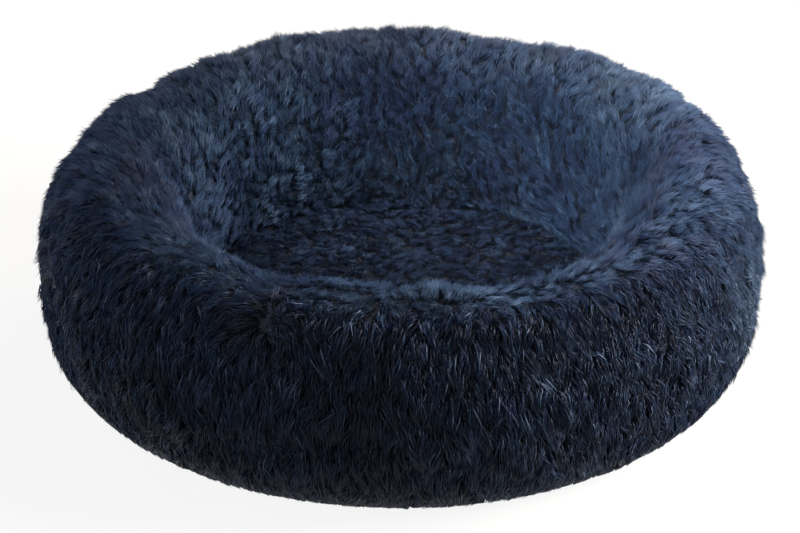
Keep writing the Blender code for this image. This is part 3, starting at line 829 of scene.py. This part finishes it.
places = ringTufts(pile["tuftGap"], 1)
loose = ringHang(places) > np.random.default_rng(8).uniform(*pile["looseFrom"], len(places))
sets = [(places[some], growLocks(places[some], ringShift, ringFrame, ringLie, ringSettle, kind, seed))
        for some, kind, seed in ((loose, True, 2), (~loose, False, 5))]
print("ring pile:", loose.sum(), "loose tufts and", (~loose).sum(), "close ones")
leftSeam, rightSeam = ring["leftSeam"], ring["rightSeam"]
for side, start, end, count in (("front", leftSeam, rightSeam + 360, pile["frontPieces"]),
                                ("back", rightSeam, leftSeam, pile["backPieces"])):
    edges = np.linspace(start, end, count + 1)
    for k in range(count):
        chosen = [(locks, (some[:, 0] - edges[k]) % 360 < edges[k + 1] - edges[k]) for some, locks in sets]
        lockPiece("ring_pile_" + side + "_" + str(k + 1), chosen, 100 + k)


# Backing of the ring's cover, which closes the pile underneath

backing = {
    "thickness": 0.0012,
    "runSteps": 90,
    "degreesPerStep": 2.0,
    "seamGap": 0.05,
    "endRadius": 0.3040,  # the front panel's ends turn in to here beside the zip's tabs
    "endHeight": 0.028,
    "rings": 44,
    "spokes": 100,
}


def turnIn(grid, run, radius):
    # the first and last columns of the outer wall's foot drawn in to a radius, which closes the ends
    low = (run > crestRun) & (grid[:, 0, 2] < backing["endHeight"])
    for column in (0, -1):
        flat = grid[low, column, :2]
        grid[low, column, :2] = flat * radius / np.linalg.norm(flat, axis=1, keepdims=True)


def coverBacking(name, start, end, endRun, node):
    # a wall of even thickness under the pile, from one side seam to the other
    b = backing
    count = round((end - start) / b["degreesPerStep"])
    azimuth = np.linspace(start + b["seamGap"], end - b["seamGap"], count)
    run = np.linspace(firstRun, endRun, b["runSteps"])
    closed = endRun == fullRun
    if closed:
        azimuth = np.concatenate([[start + b["seamGap"] / 2], azimuth, [end - b["seamGap"] / 2]])
    places = joined(*np.meshgrid(azimuth, run))
    outer = ringAt(places)
    inner = ringAt(places, pile["backingDepth"] + b["thickness"])
    if closed:
        turnIn(outer, run, b["endRadius"] + b["thickness"])
        turnIn(inner, run, b["endRadius"])
    piece = newPiece(name, shell(name, outer, inner), backingFinish, node)


coverBacking("ring_cover_front_backing", leftSeam, rightSeam + 360, fullRun, "ring_cover_front")
coverBacking("ring_cover_back_backing", rightSeam, leftSeam, backEndRun, "ring_cover_back")
print("ring backing made")


# Sleeping cushion in the middle

cushion = {
    "radius": 0.1954,
    "rimStart": 0.165,
    "backingRadius": 0.2030,  # its backing runs on to meet the ring's
    "rimRise": 0.8,
    "edgeHeight": 0.050,
    "crown": 0.019,
    "power": 4,
    "dimpleHeight": 0.0010,
    "dimpleLength": 0.085,
    "dimples": (           # the direction of each wave, and its start
        (0.9, 0.3, 0.10),
        (-0.5, 0.8, 0.40),
        (0.2, -1.0, 0.70),
        (1.0, -0.6, 0.20),
        (-0.8, -0.6, 0.55),
        (0.4, 1.1, 0.90),
    ),
    "tuftGap": 0.0085,
    "rootMargin": 0.001,  # the roots keep this far inside the radius
    "tuftMargin": 0.003,  # and the tufts' middles this far
    # its nap: azimuth that it runs towards, then waves of strength, size and seed
    "lie": 265.0,
    "turnWaves": ((26, 0.07, 32),),
    "turnSpread": 1.2,  # this and the next are times the ring's close pile
    "longer": 1.15,
    "lift": 32,
    "liftWaves": ((7, 0.028, 33),),
    "limits": (12, 75),
    "lengthWaves": ((0.10, 0.032, 34),),
    "tint": 0.38,
    "tintWaves": ((0.16, 0.032, 35),),
    "hang": 0.15,
}


def cushionPoint(places, depth=pile["backingDepth"]):
    # edge height + crown * sqrt(1 - (r / R)^power), with soft dimples, lowered by the depth
    c = cushion
    radius = np.hypot(places[..., 0], places[..., 1])
    crown = c["crown"] * dome(np.minimum(radius, c["radius"]) / c["radius"], c["power"])
    dimple = sum(c["dimpleHeight"] * wave for wave in sines(places, c["dimples"], c["dimpleLength"]))
    rim = np.clip((radius - c["rimStart"]) / (c["backingRadius"] - c["rimStart"]), 0, 1)
    height = c["edgeHeight"] + crown + dimple * crown / c["crown"] - depth * (1 - c["rimRise"] * rim ** 2)
    return raised(places, height)


def cushionFrame(places):
    # its directions come from steps of 0.4 mm, and its parameters run the other way round
    here, along, around, normal = surfaceFrame(cushionPoint, places, (0.0004, 0.0004))
    return here, along, around, -normal


def cushionShift(places, offsets):
    shifted = places[:, None] + offsets
    radius = np.hypot(shifted[..., 0], shifted[..., 1])
    return shifted * np.minimum(1, (cushion["radius"] - cushion["rootMargin"]) / radius)[..., None]


def cushionLie(places, middle, rng):
    p, c = pile, cushion
    count = len(places)
    turn = 90 - c["lie"] + waved(middle, c["turnWaves"])
    turn = turn + rng.normal(0, c["turnSpread"] * p["turnSpread"][0], count)
    lift = c["lift"] + waved(middle, c["liftWaves"]) + rng.normal(0, p["liftSpread"], count)
    length = c["longer"] * p["length"] * (1 + waved(middle, c["lengthWaves"]))
    tint = c["tint"] + waved(middle, c["tintWaves"]) + rng.normal(0, p["tuftTintSpread"][0], count)
    return turn, np.clip(lift, *c["limits"]), length, tint, np.full(count, c["hang"])


def cushionSettle(places, points):
    return points


def cushionTufts(c, seed):
    # a jittered grid with every other row shifted by half a gap, kept within the cushion
    rng = np.random.default_rng(seed)
    gap = c["tuftGap"]
    side = np.arange(-c["radius"], c["radius"], gap)
    grid = joined(*np.meshgrid(side, side))
    grid[1::2, :, 0] += gap / 2
    grid = grid.reshape(-1, 2) + gap * rng.uniform(*pile["jitter"], (len(side) ** 2, 2))
    return grid[np.hypot(grid[:, 0], grid[:, 1]) < c["radius"] - c["tuftMargin"]]


places = cushionTufts(cushion, 3)
cushionLocks = growLocks(places, cushionShift, cushionFrame, cushionLie, cushionSettle, False, 4)
half = places[:, 0] < 0
lockPiece("centre_pile_left", [(cushionLocks, half)], 131)
lockPiece("centre_pile_right", [(cushionLocks, ~half)], 132)
print("centre pile:", len(places), "tufts")


def discPlaces(radius, rings, spokes):
    # a polar grid of (x, y) with its middle closed by a very small ring
    share = np.linspace(0.004, 1, rings)
    angle = np.linspace(0, 2 * np.pi, spokes, endpoint=False)
    r, a = np.meshgrid(radius * share, angle, indexing="ij")
    return joined(r * np.cos(a), r * np.sin(a))


def disc(name, top, under):
    # two polar grids (rings, spokes, 3) joined at the rim, each with its middle filled
    rings, spokes = top.shape[:2]
    count = rings * spokes
    last = np.arange(spokes) + count - spokes
    after = np.roll(last, -1)
    rim = joined(last, last + count, after + count, after)
    middle = np.arange(spokes)[None]
    faces = [gridFaces(rings, spokes, 0, True), gridFaces(rings, spokes, count, True)[:, ::-1], rim,
             middle, (middle + count)[:, ::-1]]
    return newMesh(name, np.concatenate([top.reshape(-1, 3), under.reshape(-1, 3)]), faces)[0]


top = cushionPoint(discPlaces(cushion["backingRadius"], backing["rings"], backing["spokes"]))
under = top - np.array([0, 0, backing["thickness"]])
piece = newPiece("centre_cover_backing", disc("centre_cover_backing", top, under), backingFinish,
                 "centre_cover")
print("centre cushion made")


# What lies inside the covers: the linings and their filling

lining = {
    "depth": 0.0215,  # the linings lie this far under the pile's outer surface
    "thickness": 0.0009,
    "gap": 0.0003,
    "foot": 0.3018,  # the outer wall stands on the zip's upper tape here
    "footHeight": 0.033,
    "bottom": 0.0027,
    "outerCorner": 0.2903,
    "innerCorner": 0.2188,
    "middleShare": 0.93,  # of the crest's radius: wrinkles draw the cloth towards here
    "cornerSteps": 7,  # the section is rounded over this many of its steps
    "sectionSteps": 36,
    "turnSteps": 150,
    "wrinkle": 0.0011,
    "wrinkleSize": 0.030,
    "fillWrinkle": 0.0035,
    "fillWrinkleSize": 0.055,
}


def around(path, steps):
    # a path of (radius, height) turned round Z as a grid (rows, steps, 3)
    turn = np.linspace(0, 2 * np.pi, steps, endpoint=False)
    return turned(path[:, :1], turn, np.broadcast_to(path[:, 1:], (len(path), steps)))


def evenPath(path, steps, window):
    # the path at even steps of its length, its corners rounded by a moving mean
    path = evenly(path, steps)[1]
    padded = np.concatenate([path[:1].repeat(window // 2, 0), path, path[-1:].repeat(window // 2, 0)])
    kernel = np.ones(window) / window
    smooth = joined(*(np.convolve(values, kernel, "valid") for values in padded.T))
    smooth[[0, -1]] = path[[0, -1]]
    return smooth


def liningPath(depth, outside):
    # from the crest down one wall, and along the flat underside to its middle
    s, r = lining, ring
    rise = depth - s["depth"]
    bottom = s["bottom"] + rise
    middle = ((s["outerCorner"] + s["innerCorner"]) / 2, bottom)
    if outside:
        foot, widest = s["foot"] - rise, r["widestHeight"]
        reach = (r["radius"] - depth - foot, widest - s["footHeight"])
        lower = ovalPoints((foot, widest), reach, 0, -90, 1)
        path = np.concatenate([upperWall(depth), lower[1:], [(s["outerCorner"] - rise, bottom), middle]])
    else:
        path = np.concatenate([innerWall(depth, 90, 180), [(s["innerCorner"] + rise, bottom), middle]])
    return evenPath(path, s["sectionSteps"], s["cornerSteps"])


def levelOut(grid):
    # the level unit directions from Z
    return unit(grid * np.array([1, 1, 0]))


def pucker(grid, size, height, seed):
    # draws the cloth's points a little towards the section's middle, in soft wrinkles
    middle = levelOut(grid) * ring["crestRadius"] * lining["middleShare"]
    middle[..., 2] += ring["widestHeight"]
    return grid + unit(middle - grid) * (height * softWave(grid, size, seed))[..., None]


def loopMesh(name, grid):
    # a closed section carried all the way round: both directions of the grid wrap
    rows, columns = grid.shape[:2]
    closed = gridFaces(rows + 1, columns, 0, True) % (rows * columns)
    return newMesh(name, grid.reshape(-1, 3), [closed])[0]


# Spunbonded polypropylene: off-white, matt, with a grid of small pressed points
liningFinish = grainFinish("spunbondPolypropylene", 0.85,
                           {"kind": "Voronoi", "Scale": 650.0, "Randomness": 0.2},
                           [(0.10, "c9c9c3"), (0.35, "e2e2dc")], bump=(0.0003, 0.5),
                           Specular_IOR_Level=0.3)
# Siliconised hollow polyester fibre: white, fluffy, in soft balls
fillingFinish = grainFinish("hollowFibreFilling", 0.95, {"Scale": 70.0, "Detail": 8.0, "Roughness": 0.7},
                            [(0.3, "d9d9d4"), (0.65, "f3f3ef")], bump=(0.004, 0.8), Sheen_Weight=0.3)


def ringLining(name, node, outside, seed):
    # one half of the lining, shifted to its own side of the seam by half the gap
    s = lining
    layers = []
    for depth in (s["depth"], s["depth"] + s["thickness"]):
        layer = around(liningPath(depth, outside), s["turnSteps"])
        layers.append(pucker(layer, s["wrinkleSize"], s["wrinkle"], seed))
    shift = levelOut(layers[0]) * (s["gap"] / 2 * (1 if outside else -1))
    grid = np.concatenate([layers[0] + shift, (layers[1] + shift)[::-1]])
    if not outside:
        grid = grid[::-1]
    piece = newPiece(name, loopMesh(name, grid), liningFinish, node)
    path = liningPath(s["depth"], outside)


def ringFilling():
    s = lining
    depth = s["depth"] + s["thickness"] + s["gap"]
    path = np.concatenate([liningPath(depth, True), liningPath(depth, False)[-2:0:-1]])
    grid = pucker(around(path, s["turnSteps"]), s["fillWrinkleSize"], s["fillWrinkle"], 43)
    grid = pucker(grid, s["wrinkleSize"], s["wrinkle"], 44)
    piece = newPiece("ring_filling", loopMesh("ring_filling", grid), fillingFinish, "ring_fill")


pillow = {
    "radius": 0.2160,
    "seam": 0.010,
    "middle": 0.02755,
    "halfThickness": 0.02485,
    "power": 4,
    "rings": 36,
    "spokes": 90,
    "wrinkle": 0.0010,
    "wrinkleSize": 0.028,
    "rimGap": 0.0004,
}


def pillowFace(depth, side, lift, seed):
    # middle +- (half thickness - depth) * sqrt(1 - (r / R)^power), with soft wrinkles
    s = pillow
    radius = s["radius"] - depth
    flat = discPlaces(radius, s["rings"], s["spokes"])
    bow = dome(np.hypot(flat[..., 0], flat[..., 1]) / radius, s["power"])
    wave = s["wrinkle"] * softWave(flat, s["wrinkleSize"], seed)
    return raised(flat, s["middle"] + side * (lift + bow * (s["halfThickness"] - depth - wave)))


def pillowLining(name, node, side, seed):
    faces = [pillowFace(depth, side, lining["gap"] / 2, seed) for depth in (0, lining["thickness"])]
    top, under = faces if side > 0 else faces[::-1]
    piece = newPiece(name, disc(name, top, under), liningFinish, node)


def centreFilling():
    depth = lining["thickness"] + lining["gap"] + pillow["rimGap"]
    top, under = (pillowFace(depth, side, 0, seed) for side, seed in ((1, 53), (-1, 54)))
    under[-1] = top[-1] - np.array([0, 0, pillow["rimGap"]])
    piece = newPiece("centre_filling", disc("centre_filling", top, under), fillingFinish,
                     "centre_fill")


ringLining("ring_lining_outer", "ring_liner_outer", True, 41)
ringLining("ring_lining_inner", "ring_liner_inner", False, 42)
ringFilling()
pillowLining("centre_lining_top", "centre_liner_top", 1, 51)
pillowLining("centre_lining_bottom", "centre_liner_bottom", -1, 52)
centreFilling()
print("linings and filling made")


# Base: coated cloth with grip dots, and the tape round its edge

base = {
    "radius": 0.3025,
    "rings": 44,
    "spokes": 120,
    "top": 0.0024,
    "under": 0.0009,
    "unevenness": 0.00012,
    "unevenSize": 0.06,
    "dotPitch": 0.018,
    "dotRadius": 0.0024,
    "dotTaper": 0.8,  # of the radius, at the dome's lower ring
    "dotFlat": 0.0002,
    "dotReach": 0.292,  # the dots keep inside this radius
    "dotSides": 7,
    "threadPitch": 0.0016,  # a thread spacing of 0.4 mm, drawn four times as coarse so that it shows
}


def weave(tree, across, along, pitch):
    # plain weave: sin(across) * sin(along), from -1 to 1, at the pitch of the threads
    turns = [mathNode(tree, "SINE", mathNode(tree, "MULTIPLY", way, 2 * np.pi / pitch))
             for way in (across, along)]
    both = mathNode(tree, "MULTIPLY", *turns)
    return addNode(tree, "ShaderNodeMapRange", {"Value": both, "From Min": -1.0}).outputs[0]


def clothFinish(name, roughness, threads, depth, bandRadius, *colours, **sockets):
    # threads in a woven pattern, their tops painted a little paler as painted light and the dips
    # between them darker as painted shade, with a slow change of tone over the cloth. They run
    # along X and Y, or on a band of some radius round it and up it.
    material, tree, shader = newFinish(name, roughness, **sockets)
    place = addNode(tree, "ShaderNodeTexCoord").outputs["Object"]
    split = addNode(tree, "ShaderNodeSeparateXYZ", {0: place})
    across, along = split.outputs["X"], split.outputs["Y"]
    if bandRadius:
        across = mathNode(tree, "MULTIPLY", mathNode(tree, "ARCTAN2", along, across), bandRadius)
        along = split.outputs["Z"]
    height = weave(tree, across, along, threads)
    # the weave's height also sets its tone: painted light on the thread tops, painted shade between them
    tone = mathNode(tree, "ADD", height, grain(tree, Scale=60.0, Detail=3.0))
    paint(tree, shader, tone, list(zip((0.35, 0.75, 1.2), colours)), height, depth, 0.7)
    return material


# Oxford polyester with a coating on its back: dark, dull, the threads just showing
baseFinish = clothFinish("coatedOxfordCloth", 0.7, base["threadPitch"], 0.0003, None,
                         "16181c", "23262c", "2d3138", Specular_IOR_Level=0.35)
# Woven polyester tape, dyed navy: fine ribs with a dull shine
tapeFinish = clothFinish("wovenPolyesterTape", 0.75, 0.0011, 0.00025, 0.305,
                         "0f1522", "1c2638", "2a3850", Specular_IOR_Level=0.35)
# Woven satin label, blank: off-white with a soft shine along the threads
satinFinish = clothFinish("wovenSatinLabel", 0.42, 0.0006, 0.0001, None,
                          "c4c4be", "d9d9d4", "e6e6e1", Sheen_Weight=0.3)
# Polyester sewing thread, navy and a little paler than the tape, with a soft shine
threadFinish = clothFinish("polyesterSewingThread", 0.55, 0.0005, 0.0001, 0.305,
                           "1d2a42", "2c3d5c", "3a4f73", Sheen_Weight=0.2)
# PVC grip dots printed on the cloth: grey, with the dull shine of soft plastic
dotFinish = grainFinish("printedGripDots", 0.45, {"Scale": 900.0, "Detail": 3.0},
                        [(0.35, "3a3d42"), (0.7, "55585e")], Specular_IOR_Level=0.5)


def copies(name, points, faces, origins, axes):
    # one small form (n, 3) set at each origin, along that place's own three axes (m, 3, 3)
    placed = origins[:, None] + points @ axes
    first = (np.arange(len(origins)) * len(points))[:, None, None]
    return newMesh(name, placed.reshape(-1, 3), [(group[None] + first).reshape(-1, group.shape[1])
                                                 for group in faces])[0]


def gripDots(s):
    # low domes under the cloth in rows, each a rim, a lower ring and a middle point
    n = s["dotSides"]
    k = np.arange(n)
    after = (k + 1) % n
    rim = turned(s["dotRadius"], k * 2 * np.pi / n, np.full(n, s["under"]))
    lower = rim * np.array([s["dotTaper"], s["dotTaper"], 0]) + np.array([0, 0, s["dotFlat"]])
    points = np.concatenate([rim, lower, [(0, 0, 0)]])
    faces = [k[None], gridFaces(2, n, 0, True), joined(k + n, k * 0 + 2 * n, after + n)]
    count = int(1.2 * s["dotReach"] / s["dotPitch"])
    i, j = np.meshgrid(np.arange(-count, count + 1), np.arange(-count, count + 1))
    centres = joined(i + 0.5 * (j % 2), j * np.sqrt(0.75)).reshape(-1, 2) * s["dotPitch"]
    centres = centres[np.hypot(centres[:, 0], centres[:, 1]) < s["dotReach"]]
    origins = raised(centres, np.zeros(len(centres)))
    mesh = copies("base_grip_dots", points, faces, origins, np.broadcast_to(np.eye(3), (len(origins), 3, 3)))
    newPiece("base_grip_dots", mesh, dotFinish)


def baseCloth(s):
    flat = discPlaces(s["radius"], s["rings"], s["spokes"])
    sag = s["unevenness"] * softWave(flat, s["unevenSize"], seed=61)
    mesh = disc("base_cloth", raised(flat, s["top"] - sag), raised(flat, s["under"] - sag))
    piece = newPiece("base_cloth", mesh, baseFinish, "base_panel")


baseCloth(base)
gripDots(base)


# Stitches, as short loops of thread that dip into the cloth at both ends

stitch = {
    "length": 0.0026,
    "radius": 0.00024,
    "pitch": 0.0034,
    "sides": 4,
    "stand": 0.00010,
    # each ring's shares of the half length, the radius and the stand
    "rings": ((-0.72, 0.85, 1.0), (0.0, 1.0, 1.6), (0.72, 0.85, 1.0)),
}


def stitchForm(s):
    # rings of sides points at shares of the length, between two end points that lie lower
    n = s["sides"]
    k = np.arange(n)
    after = (k + 1) % n
    turn = (k + 0.5) * 2 * np.pi / n
    across, up = np.cos(turn) * s["radius"], np.sin(turn) * s["radius"]
    rows = [joined(turn * 0 + x * s["length"] / 2, across * wide, up * wide + lift * s["stand"])
            for x, wide, lift in s["rings"]]
    points = np.concatenate(rows + [[(side * s["length"] / 2, 0, -s["stand"])] for side in (-1, 1)])
    ends = [joined(after, k, k * 0 + 3 * n), joined(k + 2 * n, after + 2 * n, k * 0 + 3 * n + 1)]
    return points, [gridFaces(3, n, 0, True)[:, [0, 3, 2, 1]], np.concatenate(ends)]


def stitchLine(radius, azimuths, heights):
    # stitches at even steps on an upright band, round it or up it, with their axes
    (start, end), (low, high) = azimuths, heights
    count = round((np.radians(end - start) * radius + high - low) / stitch["pitch"])
    steps = np.arange(count) + 0.5
    turn = np.radians(start + steps * (end - start) / count)
    tangent = joined(-np.sin(turn), np.cos(turn), turn * 0)
    up = np.broadcast_to(np.array([0.0, 0.0, 1.0]), tangent.shape)
    length, side = (up, tangent) if high > low else (tangent, -up)
    origins = turned(radius, turn, low + steps * (high - low) / count)
    return origins, np.stack([length, side, turned(1, turn, turn * 0)], axis=1)


def sewn(name, lines):
    points, faces = stitchForm(stitch)
    origins, axes = (np.concatenate([line[k] for line in lines]) for k in (0, 1))
    newPiece(name, copies(name, points, faces, origins, axes), threadFinish)


zipSizes = {
    "tapeFace": 0.3054,
    "tabFace": 0.3068,
    "edgeTapeFace": 0.3043,
    "edgeSeamHeight": 0.0035,
    "tapeSeamHeights": (0.0228, 0.0104, 0.0064),
    "tabSeam": (0.0046, 0.0250),  # lowest and highest
    "tabSeamInset": 0.5,  # this and the next three are in degrees
    "tabWidth": 5.62,
    "tapeEnds": (7.6, 142.4),
    "chainEnds": (16.0, 134.0),
    "coilMiddle": 0.3069,
    "coilReach": 0.00120,
    "filament": 0.00030,
    "turnPitch": 0.0014,
    "stepsPerTurn": 7,
    "sides": 4,
    "endGap": 0.0012,  # as a share of the chain
    "upperCoil": (0.01695, 0.0199),  # lowest and highest
    "lowerCoil": (0.0131, 0.01605),
}


def sewSeams(s):
    # round the base's edge tape, three along the zip's tapes, and two up each end tab
    tape, tab, width, inset = s["tapeFace"], s["tabFace"], s["tabWidth"], s["tabSeamInset"]
    right = s["tapeEnds"][0] - width / 4
    left = s["tapeEnds"][1] - width * 3 / 4
    sewn("base_edge_stitches", [stitchLine(s["edgeTapeFace"], (0, 360), [s["edgeSeamHeight"]] * 2)])
    seams = [stitchLine(tape, (right + width, left), (height, height)) for height in s["tapeSeamHeights"]]
    for azimuth in (right + inset, right + width - inset, left + inset, left + width - inset):
        seams.append(stitchLine(tab, (azimuth, azimuth), s["tabSeam"]))
    sewn("zip_stitches", seams)


sewSeams(zipSizes)


# Zip: two coils of filament, the stops, the slider and its pull

# Nylon filament: dyed through, smooth, with a plain plastic shine
nylonFinish = grainFinish("nylonFilament", 0.38, {"Scale": 40.0, "Detail": 2.0},
                          [(0.35, "18202f"), (0.7, "232e44")], Specular_IOR_Level=0.5)
# Die-cast zinc under dark blue lacquer: satin, with fine orange peel
zincFinish = grainFinish("lacqueredZinc", 0.34, {"Scale": 260.0, "Detail": 5.0},
                         [(0.30, "1d2331"), (0.62, "283044"), (0.80, "4a5264")], bump=(0.00005, 0.4),
                         bumpGrain={"Scale": 900.0, "Detail": 2.0}, Metallic=0.55, Coat_Weight=0.35,
                         Coat_Roughness=0.2)


def zipCoil(name, node, low, high):
    # a filament wound round an oval: middle + (reach * cos, half height * sin), one turn each pitch
    s = zipSizes
    start, end = np.radians(s["chainEnds"])
    count = round((end - start) * s["coilMiddle"] / s["turnPitch"]) * s["stepsPerTurn"]
    share = s["endGap"] + (1 - 2 * s["endGap"]) * np.linspace(0, 1, count + 1)
    turn = start + (end - start) * share
    phase = 2 * np.pi * np.arange(count + 1) / s["stepsPerTurn"]
    thick = s["filament"]
    wide, tall = s["coilReach"] - thick, (high - low) / 2 - thick
    line = turned(s["coilMiddle"] + wide * np.cos(phase), turn, (low + high) / 2 + tall * np.sin(phase))
    forward = unit(np.gradient(line, axis=0))
    level, upright = turned(1, turn, turn * 0), np.array([0, 0, 1.0])
    aside = level * np.cos(phase)[:, None] + upright * np.sin(phase)[:, None]
    aside = unit(aside - (aside * forward).sum(1, keepdims=True) * forward)
    other = np.cross(forward, aside)
    angle = (np.arange(s["sides"]) * 2 * np.pi / s["sides"])[:, None]
    tube = line[:, None] + thick * (aside[:, None] * np.cos(angle) + other[:, None] * np.sin(angle))
    faces = gridFaces(count + 1, s["sides"], 0, True)
    ends = np.arange(s["sides"])[None]
    last = count * s["sides"]
    mesh = newMesh(name, tube.reshape(-1, 3), [faces, np.concatenate([ends, ends[:, ::-1] + last])])[0]
    newPiece(name, mesh, nylonFinish, node)


zipCoil("zip_coil_upper_filament", "zip_coil_upper", *zipSizes["upperCoil"])
zipCoil("zip_coil_lower_filament", "zip_coil_lower", *zipSizes["lowerCoil"])


casting = {"weld": 0.000002, "flatDegrees": 0.5, "edgeDegrees": 40, "segments": 2}


def easedCopy(name, node, body, width):
    # the node's own form, with its flat faces made whole and its edges eased
    s = casting
    mesh = cadNodes[node].data.copy()
    work = bmesh.new()
    work.from_mesh(mesh)
    bmesh.ops.remove_doubles(work, verts=work.verts, dist=s["weld"])
    bmesh.ops.dissolve_limit(work, angle_limit=np.radians(s["flatDegrees"]), verts=work.verts,
                             edges=work.edges)
    work.to_mesh(mesh)
    work.free()
    mesh.materials.clear()
    piece = newPiece(name, mesh, zincFinish, node, body)
    ease = piece.modifiers.new("easedEdges", "BEVEL")
    ease.width = width
    ease.segments = s["segments"]
    ease.limit_method = "ANGLE"
    ease.angle_limit = np.radians(s["edgeDegrees"])
    ease.harden_normals = True


easedCopy("zip_slider_casting", "slider_body", "slider", 0.00018)
easedCopy("zip_slider_loop", "slider_bridge", "slider", 0.00015)
easedCopy("zip_pull", "pull_tab", "pull", 0.00018)

for names, finish in ((("base_edge_tape", "zip_tape_upper", "zip_tape_lower", "zip_end_tab_left",
                        "zip_end_tab_right"), tapeFinish),
                      (("care_label",), satinFinish),
                      (("zip_top_stop_upper", "zip_top_stop_lower", "zip_bottom_stop"), zincFinish)):
    for name in names:
        cadNodes[name].material_slots[0].material = finish
print("base and zip made")
